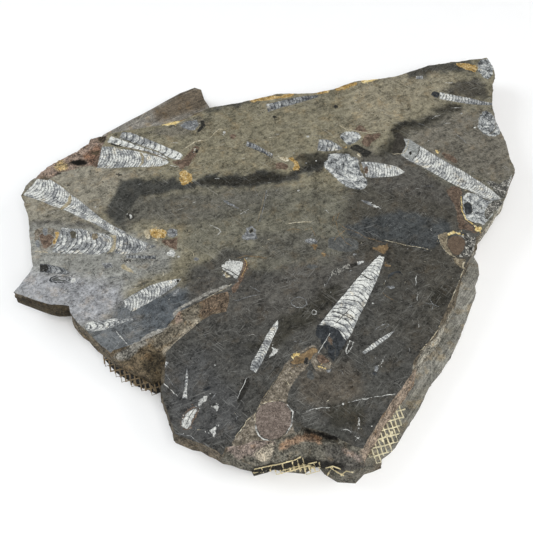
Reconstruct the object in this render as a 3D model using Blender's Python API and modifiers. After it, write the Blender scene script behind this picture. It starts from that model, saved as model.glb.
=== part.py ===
"""A polished plate of orthoceras limestone, glued by a net in resin to a thinner sawn slab.

Outlines are read from above, in millimetres, and run clockwise. The origin is under the middle of
the whole piece, on the floor that it lies on, with +Z up and +X along its longest side.
"""

import math

import bmesh
import bpy
from mathutils import Matrix, Vector, noise
from mathutils.geometry import delaunay_2d_cdt, intersect_point_line

MM = 0.001

# Heights in millimetres, from the floor up
BACKING_TOP = 20.0
GLUE_GAP = 0.3
RESIN_THICK = 1.2
PLATE_THICK = 20.0
RESIN_FOOT = BACKING_TOP + GLUE_GAP
RESIN_TOP = RESIN_FOOT + RESIN_THICK
PLATE_FOOT = RESIN_TOP + GLUE_GAP
PLATE_TOP = PLATE_FOOT + PLATE_THICK

# The plate's rim, one list for each stretch of its edge, starting at the left tip
LEFT_RIM = [
    (-274, -83), (-262, -60), (-259, -50), (-264, -34), (-274, 7), (-283, 33), (-290, 46),
    (-287, 60), (-266, 91), (-250, 104), (-224, 126), (-223, 134),
]
BACK_RIM = [
    (-203, 140), (-176, 147), (-139, 155), (-107, 165), (-78, 185), (-38, 194), (6, 209),
    (53, 210), (78, 217), (106, 231), (159, 240), (206, 261), (254, 270), (285, 276),
]
RIGHT_RIM = [
    (290, 258), (290, 243), (284, 226), (277, 189), (277, 161), (283, 128), (283, 104),
    (286, 84), (277, 66), (267, 42), (253, 21), (231, -8), (225, -12), (219, -31), (205, -55),
]
LOWER_RIGHT_RIM = [
    (187, -91), (175, -111), (166, -131), (150, -148), (139, -161), (135, -176), (119, -196),
    (102, -218), (80, -253), (80, -258),
]
FRONT_RIM = [
    (69, -264), (53, -261), (24, -255), (11, -260), (-19, -263), (-31, -260), (-48, -256),
    (-61, -248), (-93, -236),
]
NOTCH_RIM = [(-103, -210), (-109, -196), (-113, -172), (-122, -176), (-137, -169), (-153, -160)]
LOWER_LEFT_RIM = [(-173, -145), (-202, -118), (-211, -106), (-213, -99), (-235, -97)]

# How far the foot of the broken side stands out past the rim over it
PLATE_STRETCHES = [
    (LEFT_RIM, 1.5),
    (BACK_RIM, 1.5),
    (RIGHT_RIM, 1.0),
    (LOWER_RIGHT_RIM, 6.5),
    (FRONT_RIM, 2.5),
    (NOTCH_RIM, 2.0),
    (LOWER_LEFT_RIM, 3.0),
]

# The backing slab: its top edge, hidden under the plate except where the names say it shows
BACKING_LEFT = [(-215, -85), (-235, -75), (-246, -20), (-262, 30), (-262, 60), (-242, 106)]
BACKING_SAWN_WEDGE = [
    (-222, 140), (-214, 159), (-194, 175), (-163, 199), (-121, 233), (-103, 243), (-94, 239),
    (-89, 221), (-82, 208),
]
BACKING_BACK = [
    (-70, 170), (0, 185), (60, 190), (110, 212), (170, 232), (225, 248), (265, 250),
    (268, 220), (258, 180), (258, 130), (262, 95), (250, 60), (236, 18),
]
BACKING_RIGHT_LEDGE = [
    (231, -14), (225, -23), (229, -34), (228, -48), (221, -61), (221, -71), (205, -105),
    (187, -139), (176, -153), (162, -169), (148, -194), (119, -235), (104, -248),
]
BACKING_FRONT_LUMP = [(102, -253), (85, -259), (77, -267), (62, -266), (52, -259)]
BACKING_FRONT = [(46, -250), (36, -250), (28, -256), (10, -254), (0, -251), (-18, -258)]
BACKING_FRONT_LEFT = [(-26, -250), (-50, -236), (-70, -222), (-82, -205), (-92, -185)]
BACKING_NOTCH = [(-114, -175), (-121, -178), (-140, -170), (-161, -157), (-177, -141)]
BACKING_LOWER_LEFT = [(-178, -125), (-190, -105)]
BACKING_STRETCHES = [
    (BACKING_LEFT, 0.5),
    (BACKING_SAWN_WEDGE, 1.0),
    (BACKING_BACK, 0.5),
    (BACKING_RIGHT_LEDGE, 1.0),
    (BACKING_FRONT_LUMP, 4.0),
    (BACKING_FRONT, 6.0),
    (BACKING_FRONT_LEFT, 1.0),
    (BACKING_NOTCH, 1.5),
    (BACKING_LOWER_LEFT, 0.5),
]

# The resin sheet, inside both stones but for the strips that carry the net that shows
RESIN_OUTLINE = [
    (-225, -82), (-238, -60), (-242, -20), (-256, 30), (-256, 58), (-236, 104), (-214, 130),
    (-140, 148), (-70, 164), (0, 180), (60, 185), (110, 206), (170, 226), (225, 242),
    (260, 245), (262, 220), (252, 180), (252, 130), (256, 95), (244, 60), (230, 18), (213, -24),
    (200, -52), (182, -88), (161, -128), (134, -158), (129, -178), (97, -222), (74, -250),
    (40, -247), (30, -252), (10, -250), (-16, -252), (-48, -232), (-68, -218), (-80, -200),
    (-90, -180), (-114, -170), (-138, -165), (-158, -153), (-172, -138), (-174, -122),
    (-186, -102),
]

# The glass-fibre net that shows past the resin
NET_TURN = 15.0
NET_PITCH = (4.5, 7.2)
STRAND = 0.8
NET_RISE = RESIN_FOOT + RESIN_THICK / 2
NET_PATCHES = {
    "right": [(128, -203), (119, -229), (110, -244), (99, -254), (90, -246), (84, -232),
              (100, -212), (116, -192)],
    "front": [(-20, -265), (37, -264), (52, -255), (50, -240), (20, -238), (-16, -240)],
    "notch": [(-110, -181), (-121, -186), (-142, -178), (-166, -162), (-178, -146), (-160, -140),
              (-140, -155), (-112, -160)],
}


class Hollow:
    """A low, unpolished area of the plate's top.

    Its bank is the line where the polish ends. Beyond closes the outline, past the rim where the
    hollow runs out over the edge. Soundings are depths at spots in it.
    """

    def __init__(self, bank, beyond, soundings, wall, spacing):
        self.bank = [Vector(spot) for spot in bank]
        self.outline = self.bank + [Vector(spot) for spot in beyond]
        self.closed = not beyond
        self.soundings = [(Vector((x, y)), depth) for x, y, depth in soundings]
        self.wall = wall
        self.spacing = spacing

    def from_bank(self, spot):
        """The distance from a spot to the line where the polish ends."""
        ends = self.bank[1:] + self.bank[:1] if self.closed else self.bank[1:]
        return min(from_stretch(spot, start, end) for start, end in zip(self.bank, ends))

    def depth(self, spot):
        """The depth at a spot: none at the bank, and the soundings' mean beyond the wall."""
        if not is_inside(spot, self.outline):
            return 0.0
        weights = [1 / ((spot - place).length_squared + 1) for place, _ in self.soundings]
        mean = sum(w * depth for w, (_, depth) in zip(weights, self.soundings)) / sum(weights)
        ripple = 1 + 0.3 * noise.noise(Vector((spot.x, spot.y, 0)) / 7)
        return mean * ripple * min(1, self.from_bank(spot) / self.wall)


def from_stretch(spot, start, end):
    """The distance from a spot to a straight stretch of an outline."""
    _, share = intersect_point_line(spot, start, end)
    return (spot - start.lerp(end, min(1, max(0, share)))).length


def is_inside(spot, outline):
    """Whether a spot lies inside a closed outline, by counting the edges to its right."""
    inside = False
    for start, end in zip(outline, outline[1:] + outline[:1]):
        if (start.y > spot.y) != (end.y > spot.y):
            crossing = start.x + (spot.y - start.y) * (end.x - start.x) / (end.y - start.y)
            inside ^= spot.x < crossing
    return inside


HOLLOWS = [
    # The groove that runs in from the notch at the lower left
    Hollow(
        bank=[
            (-161, -150), (-137, -141), (-113, -129), (-98, -106), (-78, -95), (-65, -87),
            (-48, -82), (-46, -90), (-49, -106), (-63, -109), (-73, -115), (-85, -127),
            (-99, -141), (-108, -152), (-107, -185),
        ],
        beyond=[(-125, -200), (-175, -170)],
        soundings=[
            (-48, -90, 0.8), (-63, -98, 1.2), (-85, -112, 3.0), (-105, -132, 5.5),
            (-125, -155, 8.5), (-115, -170, 10.0), (-138, -165, 10.0), (-150, -158, 9.0),
        ],
        wall=5.0,
        spacing=6.0,
    ),
    # The broken front edge
    Hollow(
        bank=[
            (-45, -248), (-32, -247), (-18, -242), (-4, -243), (8, -238), (24, -233),
            (26, -229), (45, -233), (61, -240), (72, -247), (84, -250),
        ],
        beyond=[(90, -275), (-55, -275)],
        soundings=[
            (-40, -256, 3.0), (-19, -252, 5.0), (-4, -250, 3.0), (-10, -262, 9.0),
            (12, -243, 2.0), (11, -258, 8.0), (30, -240, 6.0), (36, -254, 9.0),
            (53, -258, 9.0), (60, -245, 5.0), (75, -258, 7.0),
        ],
        wall=4.0,
        spacing=5.5,
    ),
    # The deep dark slot behind the front edge
    Hollow(
        bank=[(26, -229), (45, -233), (61, -240), (59, -244), (41, -241), (27, -236)],
        beyond=[],
        soundings=[(42, -237, 11.0)],
        wall=2.5,
        spacing=3.0,
    ),
    # The rusty crust along the back left edge
    Hollow(
        bank=[
            (-292, 71), (-280, 71), (-263, 68), (-248, 80), (-239, 83), (-214, 91),
            (-210, 102), (-207, 118), (-203, 131), (-199, 150),
        ],
        beyond=[(-230, 160), (-300, 100)],
        soundings=[
            (-270, 78, 1.0), (-248, 90, 1.5), (-235, 110, 2.5), (-215, 120, 1.5),
            (-212, 136, 2.0),
        ],
        wall=3.0,
        spacing=6.0,
    ),
    # The pit in that crust
    Hollow(
        bank=[(-239, 96), (-231, 102), (-222, 102), (-220, 96), (-226, 91), (-237, 90)],
        beyond=[],
        soundings=[(-230, 96, 6.0)],
        wall=2.5,
        spacing=3.0,
    ),
]


def walked(stretches, step, ragged):
    """An outline as points about a step apart, each with the flare of its foot."""
    corners = [(Vector(spot), flare) for spots, flare in stretches for spot in spots]
    points = []
    for (start, flare), (end, next_flare) in zip(corners, corners[1:] + corners[:1]):
        count = max(1, round((end - start).length / step))
        along = (end - start).normalized()
        outward = Vector((-along.y, along.x))
        for i in range(count):
            spot = start.lerp(end, i / count)
            if i:
                spot += outward * ragged * noise.noise(Vector((spot.x, spot.y, 0)) / step)
            points.append((spot, flare + (next_flare - flare) * i / count))
    return points


def lattice(hollow, rim):
    """Staggered spots inside a hollow and clear of its outline and the rim."""
    xs = [spot.x for spot in hollow.outline]
    ys = [spot.y for spot in hollow.outline]
    step = hollow.spacing
    clear = step * 0.4
    spots = []
    for row in range(int((max(ys) - min(ys)) / step) + 1):
        for column in range(int((max(xs) - min(xs)) / step) + 1):
            corner = Vector((min(xs), min(ys))) + Vector((column + row % 2 / 2, row)) * step
            shift = noise.noise_vector(Vector((corner.x, corner.y, 5)) / step)
            spot = corner + shift.xy * step * 0.25
            inside = is_inside(spot, hollow.outline) and is_inside(spot, rim)
            edges = zip(rim, rim[1:] + rim[:1])
            if inside and hollow.from_bank(spot) > clear:
                if min(from_stretch(spot, start, end) for start, end in edges) > clear:
                    spots.append(spot)
    return spots


def top_face(bm, rim, hollows, height):
    """Fills the rim with triangles, cut along every hollow and sunk inside it."""
    points = list(rim)
    edges = []
    for hollow in hollows:
        first = len(points)
        points += hollow.outline
        numbers = list(range(first, len(points)))
        edges += zip(numbers, numbers[1:] + numbers[:1])
        points += lattice(hollow, rim)
    rim_face = list(reversed(range(len(rim))))
    filled = delaunay_2d_cdt(points, edges, [rim_face], 1, 0.01)
    spots, _, faces, _, _, origins = filled
    verts = {}
    for face, origin in zip(faces, origins):
        if not origin:
            continue
        for number in face:
            if number not in verts:
                spot = spots[number]
                depth = max([hollow.depth(spot) for hollow in hollows], default=0)
                verts[number] = bm.verts.new((spot.x, spot.y, height - depth))
        bm.faces.new([verts[number] for number in face])


def boundary_loop(bm):
    """The vertices round the open edge of a mesh, in order and clockwise seen from above."""
    links = {}
    for edge in bm.edges:
        if edge.is_boundary:
            corner = edge.link_loops[0]
            links[corner.link_loop_next.vert] = corner.vert
    first = next(iter(links))
    loop = [first]
    while links[loop[-1]] is not first:
        loop.append(links[loop[-1]])
    return loop


def broken_sides(bm, rim, flares, foot, rings, chip):
    """Drops a broken side from the rim down to a flat foot, and closes the foot."""
    outwards = []
    for before, after in zip(rim[-1:] + rim[:-1], rim[1:] + rim[:1]):
        along = (after.co - before.co).xy.normalized()
        outwards.append(Vector((-along.y, along.x)))
    upper = rim
    for share in rings:
        lower = []
        for vert, outward, flare in zip(rim, outwards, flares):
            height = vert.co.z + (foot - vert.co.z) * share
            rough = noise.noise(Vector((vert.co.x, vert.co.y, height)) / 9)
            reach = flare * share + chip * rough
            spot = vert.co.xy + outward * reach
            lower.append(bm.verts.new((spot.x, spot.y, height)))
        for i, vert in enumerate(rim):
            after = (i + 1) % len(rim)
            bm.faces.new((upper[i], upper[after], lower[after], lower[i]))
        upper = lower
    bm.faces.new(upper)


def broken_slab(name, stretches, hollows, heights, step, ragged, rings, chip):
    """A slab of stone with a flat top and foot and broken sides."""
    foot, top = heights
    points = walked(stretches, step, ragged)
    bm = bmesh.new()
    top_face(bm, [spot for spot, _ in points], hollows, top)
    rim = boundary_loop(bm)
    flares = []
    for vert in rim:
        _, flare = min(points, key=lambda point: (point[0] - vert.co.xy).length)
        flares.append(flare)
    broken_sides(bm, rim, flares, foot, rings, chip)
    bmesh.ops.recalc_face_normals(bm, faces=bm.faces)
    bmesh.ops.scale(bm, verts=bm.verts, vec=(MM, MM, MM))
    mesh = bpy.data.meshes.new(name)
    bm.to_mesh(mesh)
    bm.free()
    return bpy.data.objects.new(name, mesh)


def flat_sheet(name, outline, foot, thick):
    """A flat sheet cut to an outline, as a mesh that a Boolean can join."""
    curve = bpy.data.curves.new(name, "CURVE")
    curve.dimensions = "2D"
    curve.fill_mode = "BOTH"
    curve.extrude = thick / 2 * MM
    spline = curve.splines.new("POLY")
    spline.points.add(len(outline) - 1)
    for point, (x, y) in zip(spline.points, outline):
        point.co = (x * MM, y * MM, 0, 1)
    spline.use_cyclic_u = True
    guide = bpy.data.objects.new(name + "_guide", curve)
    bpy.context.scene.collection.objects.link(guide)
    guide.location.z = (foot + thick / 2) * MM
    bpy.context.view_layer.update()
    evaluated = guide.evaluated_get(bpy.context.evaluated_depsgraph_get())
    mesh = bpy.data.meshes.new_from_object(evaluated)
    bm = bmesh.new()
    bm.from_mesh(mesh)
    bmesh.ops.remove_doubles(bm, verts=bm.verts, dist=0.00001)
    bmesh.ops.recalc_face_normals(bm, faces=bm.faces)
    bm.to_mesh(mesh)
    bm.free()
    sheet = bpy.data.objects.new(name, mesh)
    sheet.matrix_world = guide.matrix_world
    bpy.data.objects.remove(guide)
    return sheet


def net_patch(name, outline):
    """The cells of the net that lie in an outline, with strands of a square section."""
    corners = [Vector(spot) for spot in outline]
    middle = sum(corners, Vector((0, 0))) / len(corners)
    reach = max((spot - middle).length for spot in corners)
    cells = [2 * math.ceil(reach / pitch) for pitch in NET_PITCH]
    turn = Matrix.Rotation(math.radians(NET_TURN), 4, "Z")
    level = turn.inverted() @ middle.to_3d()
    knot = [round(part / pitch) * pitch for part, pitch in zip(level, NET_PITCH)]
    stretch = [count * pitch for count, pitch in zip(cells, NET_PITCH)]
    place = turn @ Matrix.Translation((*knot, 0)) @ Matrix.Diagonal((*stretch, 1, 1))
    bm = bmesh.new()
    bmesh.ops.create_grid(bm, x_segments=cells[0], y_segments=cells[1], size=0.5, matrix=place)
    outside = [
        face for face in bm.faces if not is_inside(face.calc_center_median().xy, corners)
    ]
    bmesh.ops.delete(bm, geom=outside, context="FACES")
    bmesh.ops.scale(bm, verts=bm.verts, vec=(MM, MM, MM))
    mesh = bpy.data.meshes.new(name)
    bm.to_mesh(mesh)
    bm.free()
    patch = bpy.data.objects.new(name, mesh)
    patch.location.z = NET_RISE * MM
    strands = patch.modifiers.new("Strands", "WIREFRAME")
    strands.thickness = STRAND * MM
    strands.use_even_offset = False
    strands.use_boundary = True
    patch.hide_render = True
    patch.display_type = "WIRE"
    return patch


def reinforcing_net(cutters):
    """The resin sheet, joined with the strands of the net that show past it."""
    sheet = flat_sheet("reinforcing_net", RESIN_OUTLINE, RESIN_FOOT, RESIN_THICK)
    for side, outline in NET_PATCHES.items():
        patch = net_patch("net_" + side, outline)
        cutters.objects.link(patch)
        join = sheet.modifiers.new("Join " + side, "BOOLEAN")
        join.operation = "UNION"
        join.solver = "EXACT"
        join.object = patch
    return sheet


def stone(name, colour, roughness):
    """A Principled material of one colour."""
    material = bpy.data.materials.new(name)
    material.use_nodes = True
    shader = material.node_tree.nodes["Principled BSDF"]
    shader.inputs["Base Color"].default_value = (*colour, 1)
    shader.inputs["Roughness"].default_value = roughness
    shader.inputs["Metallic"].default_value = 0
    return material


def main():
    for obj in list(bpy.data.objects):
        bpy.data.objects.remove(obj, do_unlink=True)
    fossil = bpy.data.collections.new("orthoceras_fossil")
    cutters = bpy.data.collections.new("cutters")
    for collection in (fossil, cutters):
        bpy.context.scene.collection.children.link(collection)
    plate = broken_slab(
        "fossil_plate",
        PLATE_STRETCHES,
        HOLLOWS,
        heights=(PLATE_FOOT, PLATE_TOP),
        step=8.0,
        ragged=1.2,
        rings=(0.12, 0.35, 0.65, 1.0),
        chip=1.6,
    )
    plate.data.materials.append(stone("polished_limestone", (0.09, 0.08, 0.07), 0.3))
    backing = broken_slab(
        "backing_slab",
        BACKING_STRETCHES,
        [],
        heights=(0, BACKING_TOP),
        step=11.0,
        ragged=0.8,
        rings=(0.3, 0.7, 1.0),
        chip=1.0,
    )
    backing.data.materials.append(stone("sawn_limestone", (0.16, 0.15, 0.11), 0.7))
    net = reinforcing_net(cutters)
    net.data.materials.append(stone("cream_resin", (0.72, 0.62, 0.36), 0.5))
    for piece in (plate, backing, net):
        fossil.objects.link(piece)


main()
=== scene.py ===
"""The finish of the orthoceras plate: its polished face, its broken sides, the net and the slab.

What shows on the polished face was placed in the photograph, so those outlines are written
in the photograph's pixels, as lines of x,y, and on_face() lays them on the face. All other lengths
are millimetres.
"""

import math
import random

import bmesh
import bpy
import numpy as np
from mathutils import Matrix, Vector, noise
from mathutils.bvhtree import BVHTree
from mathutils.geometry import delaunay_2d_cdt


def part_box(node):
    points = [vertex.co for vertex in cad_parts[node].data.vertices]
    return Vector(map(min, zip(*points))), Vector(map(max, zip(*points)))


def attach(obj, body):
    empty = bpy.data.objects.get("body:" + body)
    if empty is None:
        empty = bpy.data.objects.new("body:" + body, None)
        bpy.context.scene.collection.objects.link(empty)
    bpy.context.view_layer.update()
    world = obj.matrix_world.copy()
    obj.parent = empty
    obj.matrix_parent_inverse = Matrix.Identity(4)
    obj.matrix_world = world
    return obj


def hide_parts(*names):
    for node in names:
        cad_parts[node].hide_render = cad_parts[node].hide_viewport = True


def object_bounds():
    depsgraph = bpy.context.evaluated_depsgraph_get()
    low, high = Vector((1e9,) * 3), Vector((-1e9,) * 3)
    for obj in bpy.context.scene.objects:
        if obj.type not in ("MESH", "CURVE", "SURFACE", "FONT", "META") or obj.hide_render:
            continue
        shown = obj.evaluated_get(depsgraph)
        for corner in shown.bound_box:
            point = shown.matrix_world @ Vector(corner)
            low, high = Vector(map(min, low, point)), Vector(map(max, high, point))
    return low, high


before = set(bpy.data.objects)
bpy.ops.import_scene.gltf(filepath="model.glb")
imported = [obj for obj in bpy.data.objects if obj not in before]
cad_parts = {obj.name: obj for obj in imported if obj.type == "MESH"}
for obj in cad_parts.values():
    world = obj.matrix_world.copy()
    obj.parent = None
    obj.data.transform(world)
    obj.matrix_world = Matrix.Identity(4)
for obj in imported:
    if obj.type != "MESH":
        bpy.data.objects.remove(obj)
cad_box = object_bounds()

MM = 0.001

# Seeds of the random draws on the polished face and round the net
FACE_SEED = 41
NET_SEED = 7

# Heights of the plate's, the slab's and the net's faces
PLATE_FOOT, PLATE_TOP = (corner.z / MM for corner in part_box("fossil_plate"))
SLAB_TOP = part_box("backing_slab")[1].z / MM
NET_LOW, NET_HIGH = (corner.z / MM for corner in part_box("reinforcing_net"))

# The photograph's frame, and the camera that looks down on the polished face
FRAME_SIDE = 533
LENS = 47.0
SENSOR = 36.0
LOOK_DOWN = math.radians(58)
CAMERA_PLACE = Vector((-7.4, -448.3, 677.8))
CAMERA_AIM = Vector((-7.4, -50.8, 41.8))


def sight_line(x, y):
    """The direction from the camera through a pixel of the photograph."""
    focal = FRAME_SIDE * LENS / SENSOR
    forward = Vector((0, math.cos(LOOK_DOWN), -math.sin(LOOK_DOWN)))
    upward = Vector((0, math.sin(LOOK_DOWN), math.cos(LOOK_DOWN)))
    ray = forward * focal + upward * (FRAME_SIDE / 2 - y)
    ray.x = x - FRAME_SIDE / 2
    return ray


def spot(x, y):
    """The place on the polished face that shows at a pixel of the photograph."""
    ray = sight_line(x, y)
    return (CAMERA_PLACE + ray * ((PLATE_TOP - CAMERA_PLACE.z) / ray.z)).xy


def pixels_in(line):
    """The pixels of the photograph that a line of text lists, each as x,y."""
    return [tuple(map(float, pixel.split(","))) for pixel in line.split()]


def on_face(line):
    """The places on the polished face that show at the pixels in a line of text."""
    return [spot(x, y) for x, y in pixels_in(line)]


# Colours of the limestone, as the polished face shows them (linear)
OLIVE = (0.213, 0.198, 0.158)
OLIVE_LIGHT = (0.225, 0.202, 0.144)
OLIVE_MID = (0.176, 0.160, 0.111)
ASH = (0.224, 0.226, 0.210)
# A silver tone with a painted sheen of reflected light in it
SILVER_AND_SHEEN = (0.261, 0.267, 0.280)
STEEL = (0.097, 0.107, 0.118)
TAUPE_LIGHT = (0.138, 0.127, 0.103)
TAUPE = (0.119, 0.114, 0.088)
GREY_BROWN = (0.094, 0.090, 0.075)
UMBER = (0.072, 0.068, 0.060)
BARK = (0.052, 0.048, 0.039)
SLATE = (0.061, 0.062, 0.062)
INK = (0.046, 0.050, 0.051)
IRON = (0.070, 0.079, 0.087)
SEPIA = (0.086, 0.075, 0.060)
GRAPHITE = (0.054, 0.053, 0.048)
DARK_BAND = (0.042, 0.042, 0.037)
SMOKE = (0.030, 0.028, 0.021)
BLACK_BAND = (0.018, 0.016, 0.011)
PITCH = (0.010, 0.009, 0.006)

# Broad tones of the limestone, and a painted sheen at the left: name, tone, softness of the border,
# strength, outline
TONES = [
    ("right_half", TAUPE, 34, 1.0,
     "318,214 356,176 396,146 440,112 520,110 520,260 440,300 360,300 306,250"),
    ("lower_half", GRAPHITE, 24, 1.0,
     "176,300 196,272 262,262 330,250 380,205 470,196 490,260 440,360 390,440 340,480 250,480 160,440 "
     "150,370"),
    ("back_right", OLIVE_LIGHT, 26, 0.9, "350,84 405,66 440,60 470,90 428,104 405,116 385,128 352,128"),
    ("back_middle", OLIVE_MID, 18, 0.8,
     "190,105 260,92 330,100 330,140 290,150 250,165 205,170 186,160 170,140"),
    ("left", OLIVE, 14, 0.9, "22,160 60,150 110,168 150,172 128,182 112,196 104,212 80,225 20,225"),
    ("left_pale", ASH, 18, 0.9, "18,225 60,225 130,232 178,250 170,268 120,290 60,275 14,290"),
    # The silver area at the left is partly the stone's own tone and partly a painted sheen of reflected
    # light
    ("left_silver_and_sheen", SILVER_AND_SHEEN, 20, 0.95, "8,268 70,274 120,284 125,305 100,322 78,330 20,310"),
    ("behind_chambers", STEEL, 14, 0.9, "128,300 180,288 186,320 160,340 112,358 84,336 100,322"),
    ("middle_grey", GREY_BROWN, 16, 0.95,
     "112,200 150,194 200,190 260,188 290,184 300,200 260,222 200,225 150,222 118,228 106,216"),
    ("centre", TAUPE, 22, 0.9,
     "190,225 262,205 300,184 330,190 345,205 360,240 330,262 280,270 240,258 196,256 182,240"),
    ("below_centre", UMBER, 22, 0.9,
     "196,268 240,288 300,262 345,252 370,250 350,290 318,324 280,350 250,380 205,345 190,300"),
    ("right_middle", BARK, 22, 0.9,
     "348,184 400,178 470,195 460,240 470,262 440,330 412,362 384,330 384,268 352,250 342,215"),
    ("right_back", TAUPE_LIGHT, 20, 0.9, "395,142 430,118 470,108 515,120 515,185 480,178 430,160"),
    ("under_long_cone", UMBER, 14, 0.9, "352,150 402,152 440,180 492,202 462,205 400,196 366,184"),
    ("low_left", SLATE, 20, 0.85, "160,372 200,350 250,340 262,352 240,400 238,440 200,440 172,425"),
    ("low_right", GRAPHITE, 20, 0.9,
     "300,372 340,352 400,330 420,350 404,380 380,410 362,440 330,430 300,410"),
    ("lower_middle", GRAPHITE, 16, 0.8, "205,318 262,318 300,330 290,365 262,390 246,400 214,372"),
    ("steel_right", IRON, 10, 0.9, "140,306 170,292 188,290 186,320 164,336 144,330"),
    ("centre_low", GREY_BROWN, 14, 0.9, "258,236 300,230 330,238 330,262 262,262"),
    ("low_brown", SEPIA, 14, 0.85, "300,376 350,360 362,392 332,406 300,400"),
    ("dark_band", DARK_BAND, 4.5, 1.0,
     "136,178 160,176.5 170,179 192,180 205,173 225,172 250,172 265,171 275,175 300,170 316,160 330,156 "
     "326,163 316,170 297,178 275,184 260,187 240,188 200,188 180,190 160,192 140,198 118,222 106,216 "
     "109,202 116,189 124,182"),
    ("band_core", BLACK_BAND, 6, 0.95,
     "196,180 225,175 262,174 290,172 318,158 320,163 300,172 272,182 240,186 200,186"),
    ("block_edge", DARK_BAND, 6, 0.8, "112,194 122,188 128,196 124,212 128,228 116,226 106,216"),
    ("past_band", SMOKE, 7, 0.9,
     "298.7,158 303,154 315.5,152 350,150 352,156 324.8,161.7 317,163 300.5,165"),
    ("hook", PITCH, 2.5, 1.0,
     "420,120.7 410.7,122 404,123.5 397.6,127 393,130 391,137.5 388,146 384,154 392,150 397.6,141 "
     "396.7,134.7 400.4,132 410.7,129 420,126 428,122.5 437,120.5 443,116.5 437,117 428,118.5"),
    ("hook_smoke", SMOKE, 6, 0.7,
     "384,140 396,126 410,121 428,116 450,113 440,124 414,133 404,140 392,156 376,156"),
    ("corner_smoke", BLACK_BAND, 5, 0.9,
     "430,110 436,106 447,103.5 458,104 464,107 462,112 450,114 438,114"),
    ("corner_grey", BARK, 8, 0.9, "440,92 460,78 478,76.6 489.6,84 488,98 470,98 450,96"),
    ("corner_band", DARK_BAND, 6, 0.9, "405,70 440,63 470,60 478,70 455,72 430,76 408,78"),
    ("under_rim", DARK_BAND, 6, 0.9,
     "198,113 210,108 240,102 252,99.5 264,98 262,102 250,105 235,109 215,112"),
    ("rim_corner", TAUPE_LIGHT, 5, 0.8, "150,132 175,122 200,118 205,124 188,134 168,138"),
    ("over_chambers", UMBER, 5, 0.9,
     "30.7,222.7 40.8,220.3 56.7,221.3 60.4,223.6 68,225.5 75.3,221.3 82,220.3 87.5,222.7 98.7,229.2 "
     "108,233 91,230 82,228.3 68,227.8 52,226.5 41,226.5 32.4,228.3"),
    ("slate_pool", INK, 6, 1.0,
     "343,226 366,217 400,211 418,215 440.6,220.8 452,223.6 456,232 448,242 436,248 420,246.7 400,243 "
     "378,240 352,236"),
    ("smoke_by_white", GRAPHITE, 7, 0.85,
     "190,272 206,264 222,248 240,250 258,250 240,262 218,272 204,278"),
    ("smoke_diagonal", SMOKE, 9, 0.9,
     "244,345 262,340 280,318 300,306 320,290 340,284 345,292 330,305 318,322 296,332 278,346 262,352"),
    ("smoke_right", BLACK_BAND, 7, 0.7, "434,286 448,286 450,300 440,308 432,302"),
    ("smoke_low", SMOKE, 8, 0.85, "330,402 350,399 362,406 366,420 352,432 334,428 326,414"),
    ("smoke_slot", DARK_BAND, 5, 0.9, "292,422 312,424 342,430 352,442 338,448 312,440 294,434"),
    ("right_rust", GRAPHITE, 12, 0.5, "384,280 420,270 430,300 420,330 396,330 384,305"),
]

# Colours of the broken and sawn stone (linear)
ROCK = (0.112, 0.094, 0.068)
CRUST = (0.235, 0.178, 0.142)
SAND = (0.265, 0.212, 0.165)
BUFF = (0.340, 0.300, 0.235)
DOVE = (0.215, 0.208, 0.185)
MOUSE = (0.120, 0.113, 0.092)
PINK = (0.205, 0.168, 0.145)
GRIT = (0.150, 0.134, 0.104)
TOAST = (0.235, 0.160, 0.108)
NUT = (0.125, 0.092, 0.064)
LOAM = (0.120, 0.094, 0.060)
PEAT = (0.045, 0.035, 0.020)
SAWN = (0.215, 0.210, 0.185)
SAWN_DARK = (0.165, 0.160, 0.135)
SAWN_PALE = (0.300, 0.285, 0.240)
RUST = (0.170, 0.100, 0.066)
STRAW = (0.460, 0.350, 0.170)
SAWN_BROWN = (0.112, 0.090, 0.064)
SAWN_GREY = (0.205, 0.192, 0.168)
# Near black: painted shade in the gaps, cracks and pits of the broken stone and behind the net
SHADE_BLACK = (0.006, 0.005, 0.004)
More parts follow.
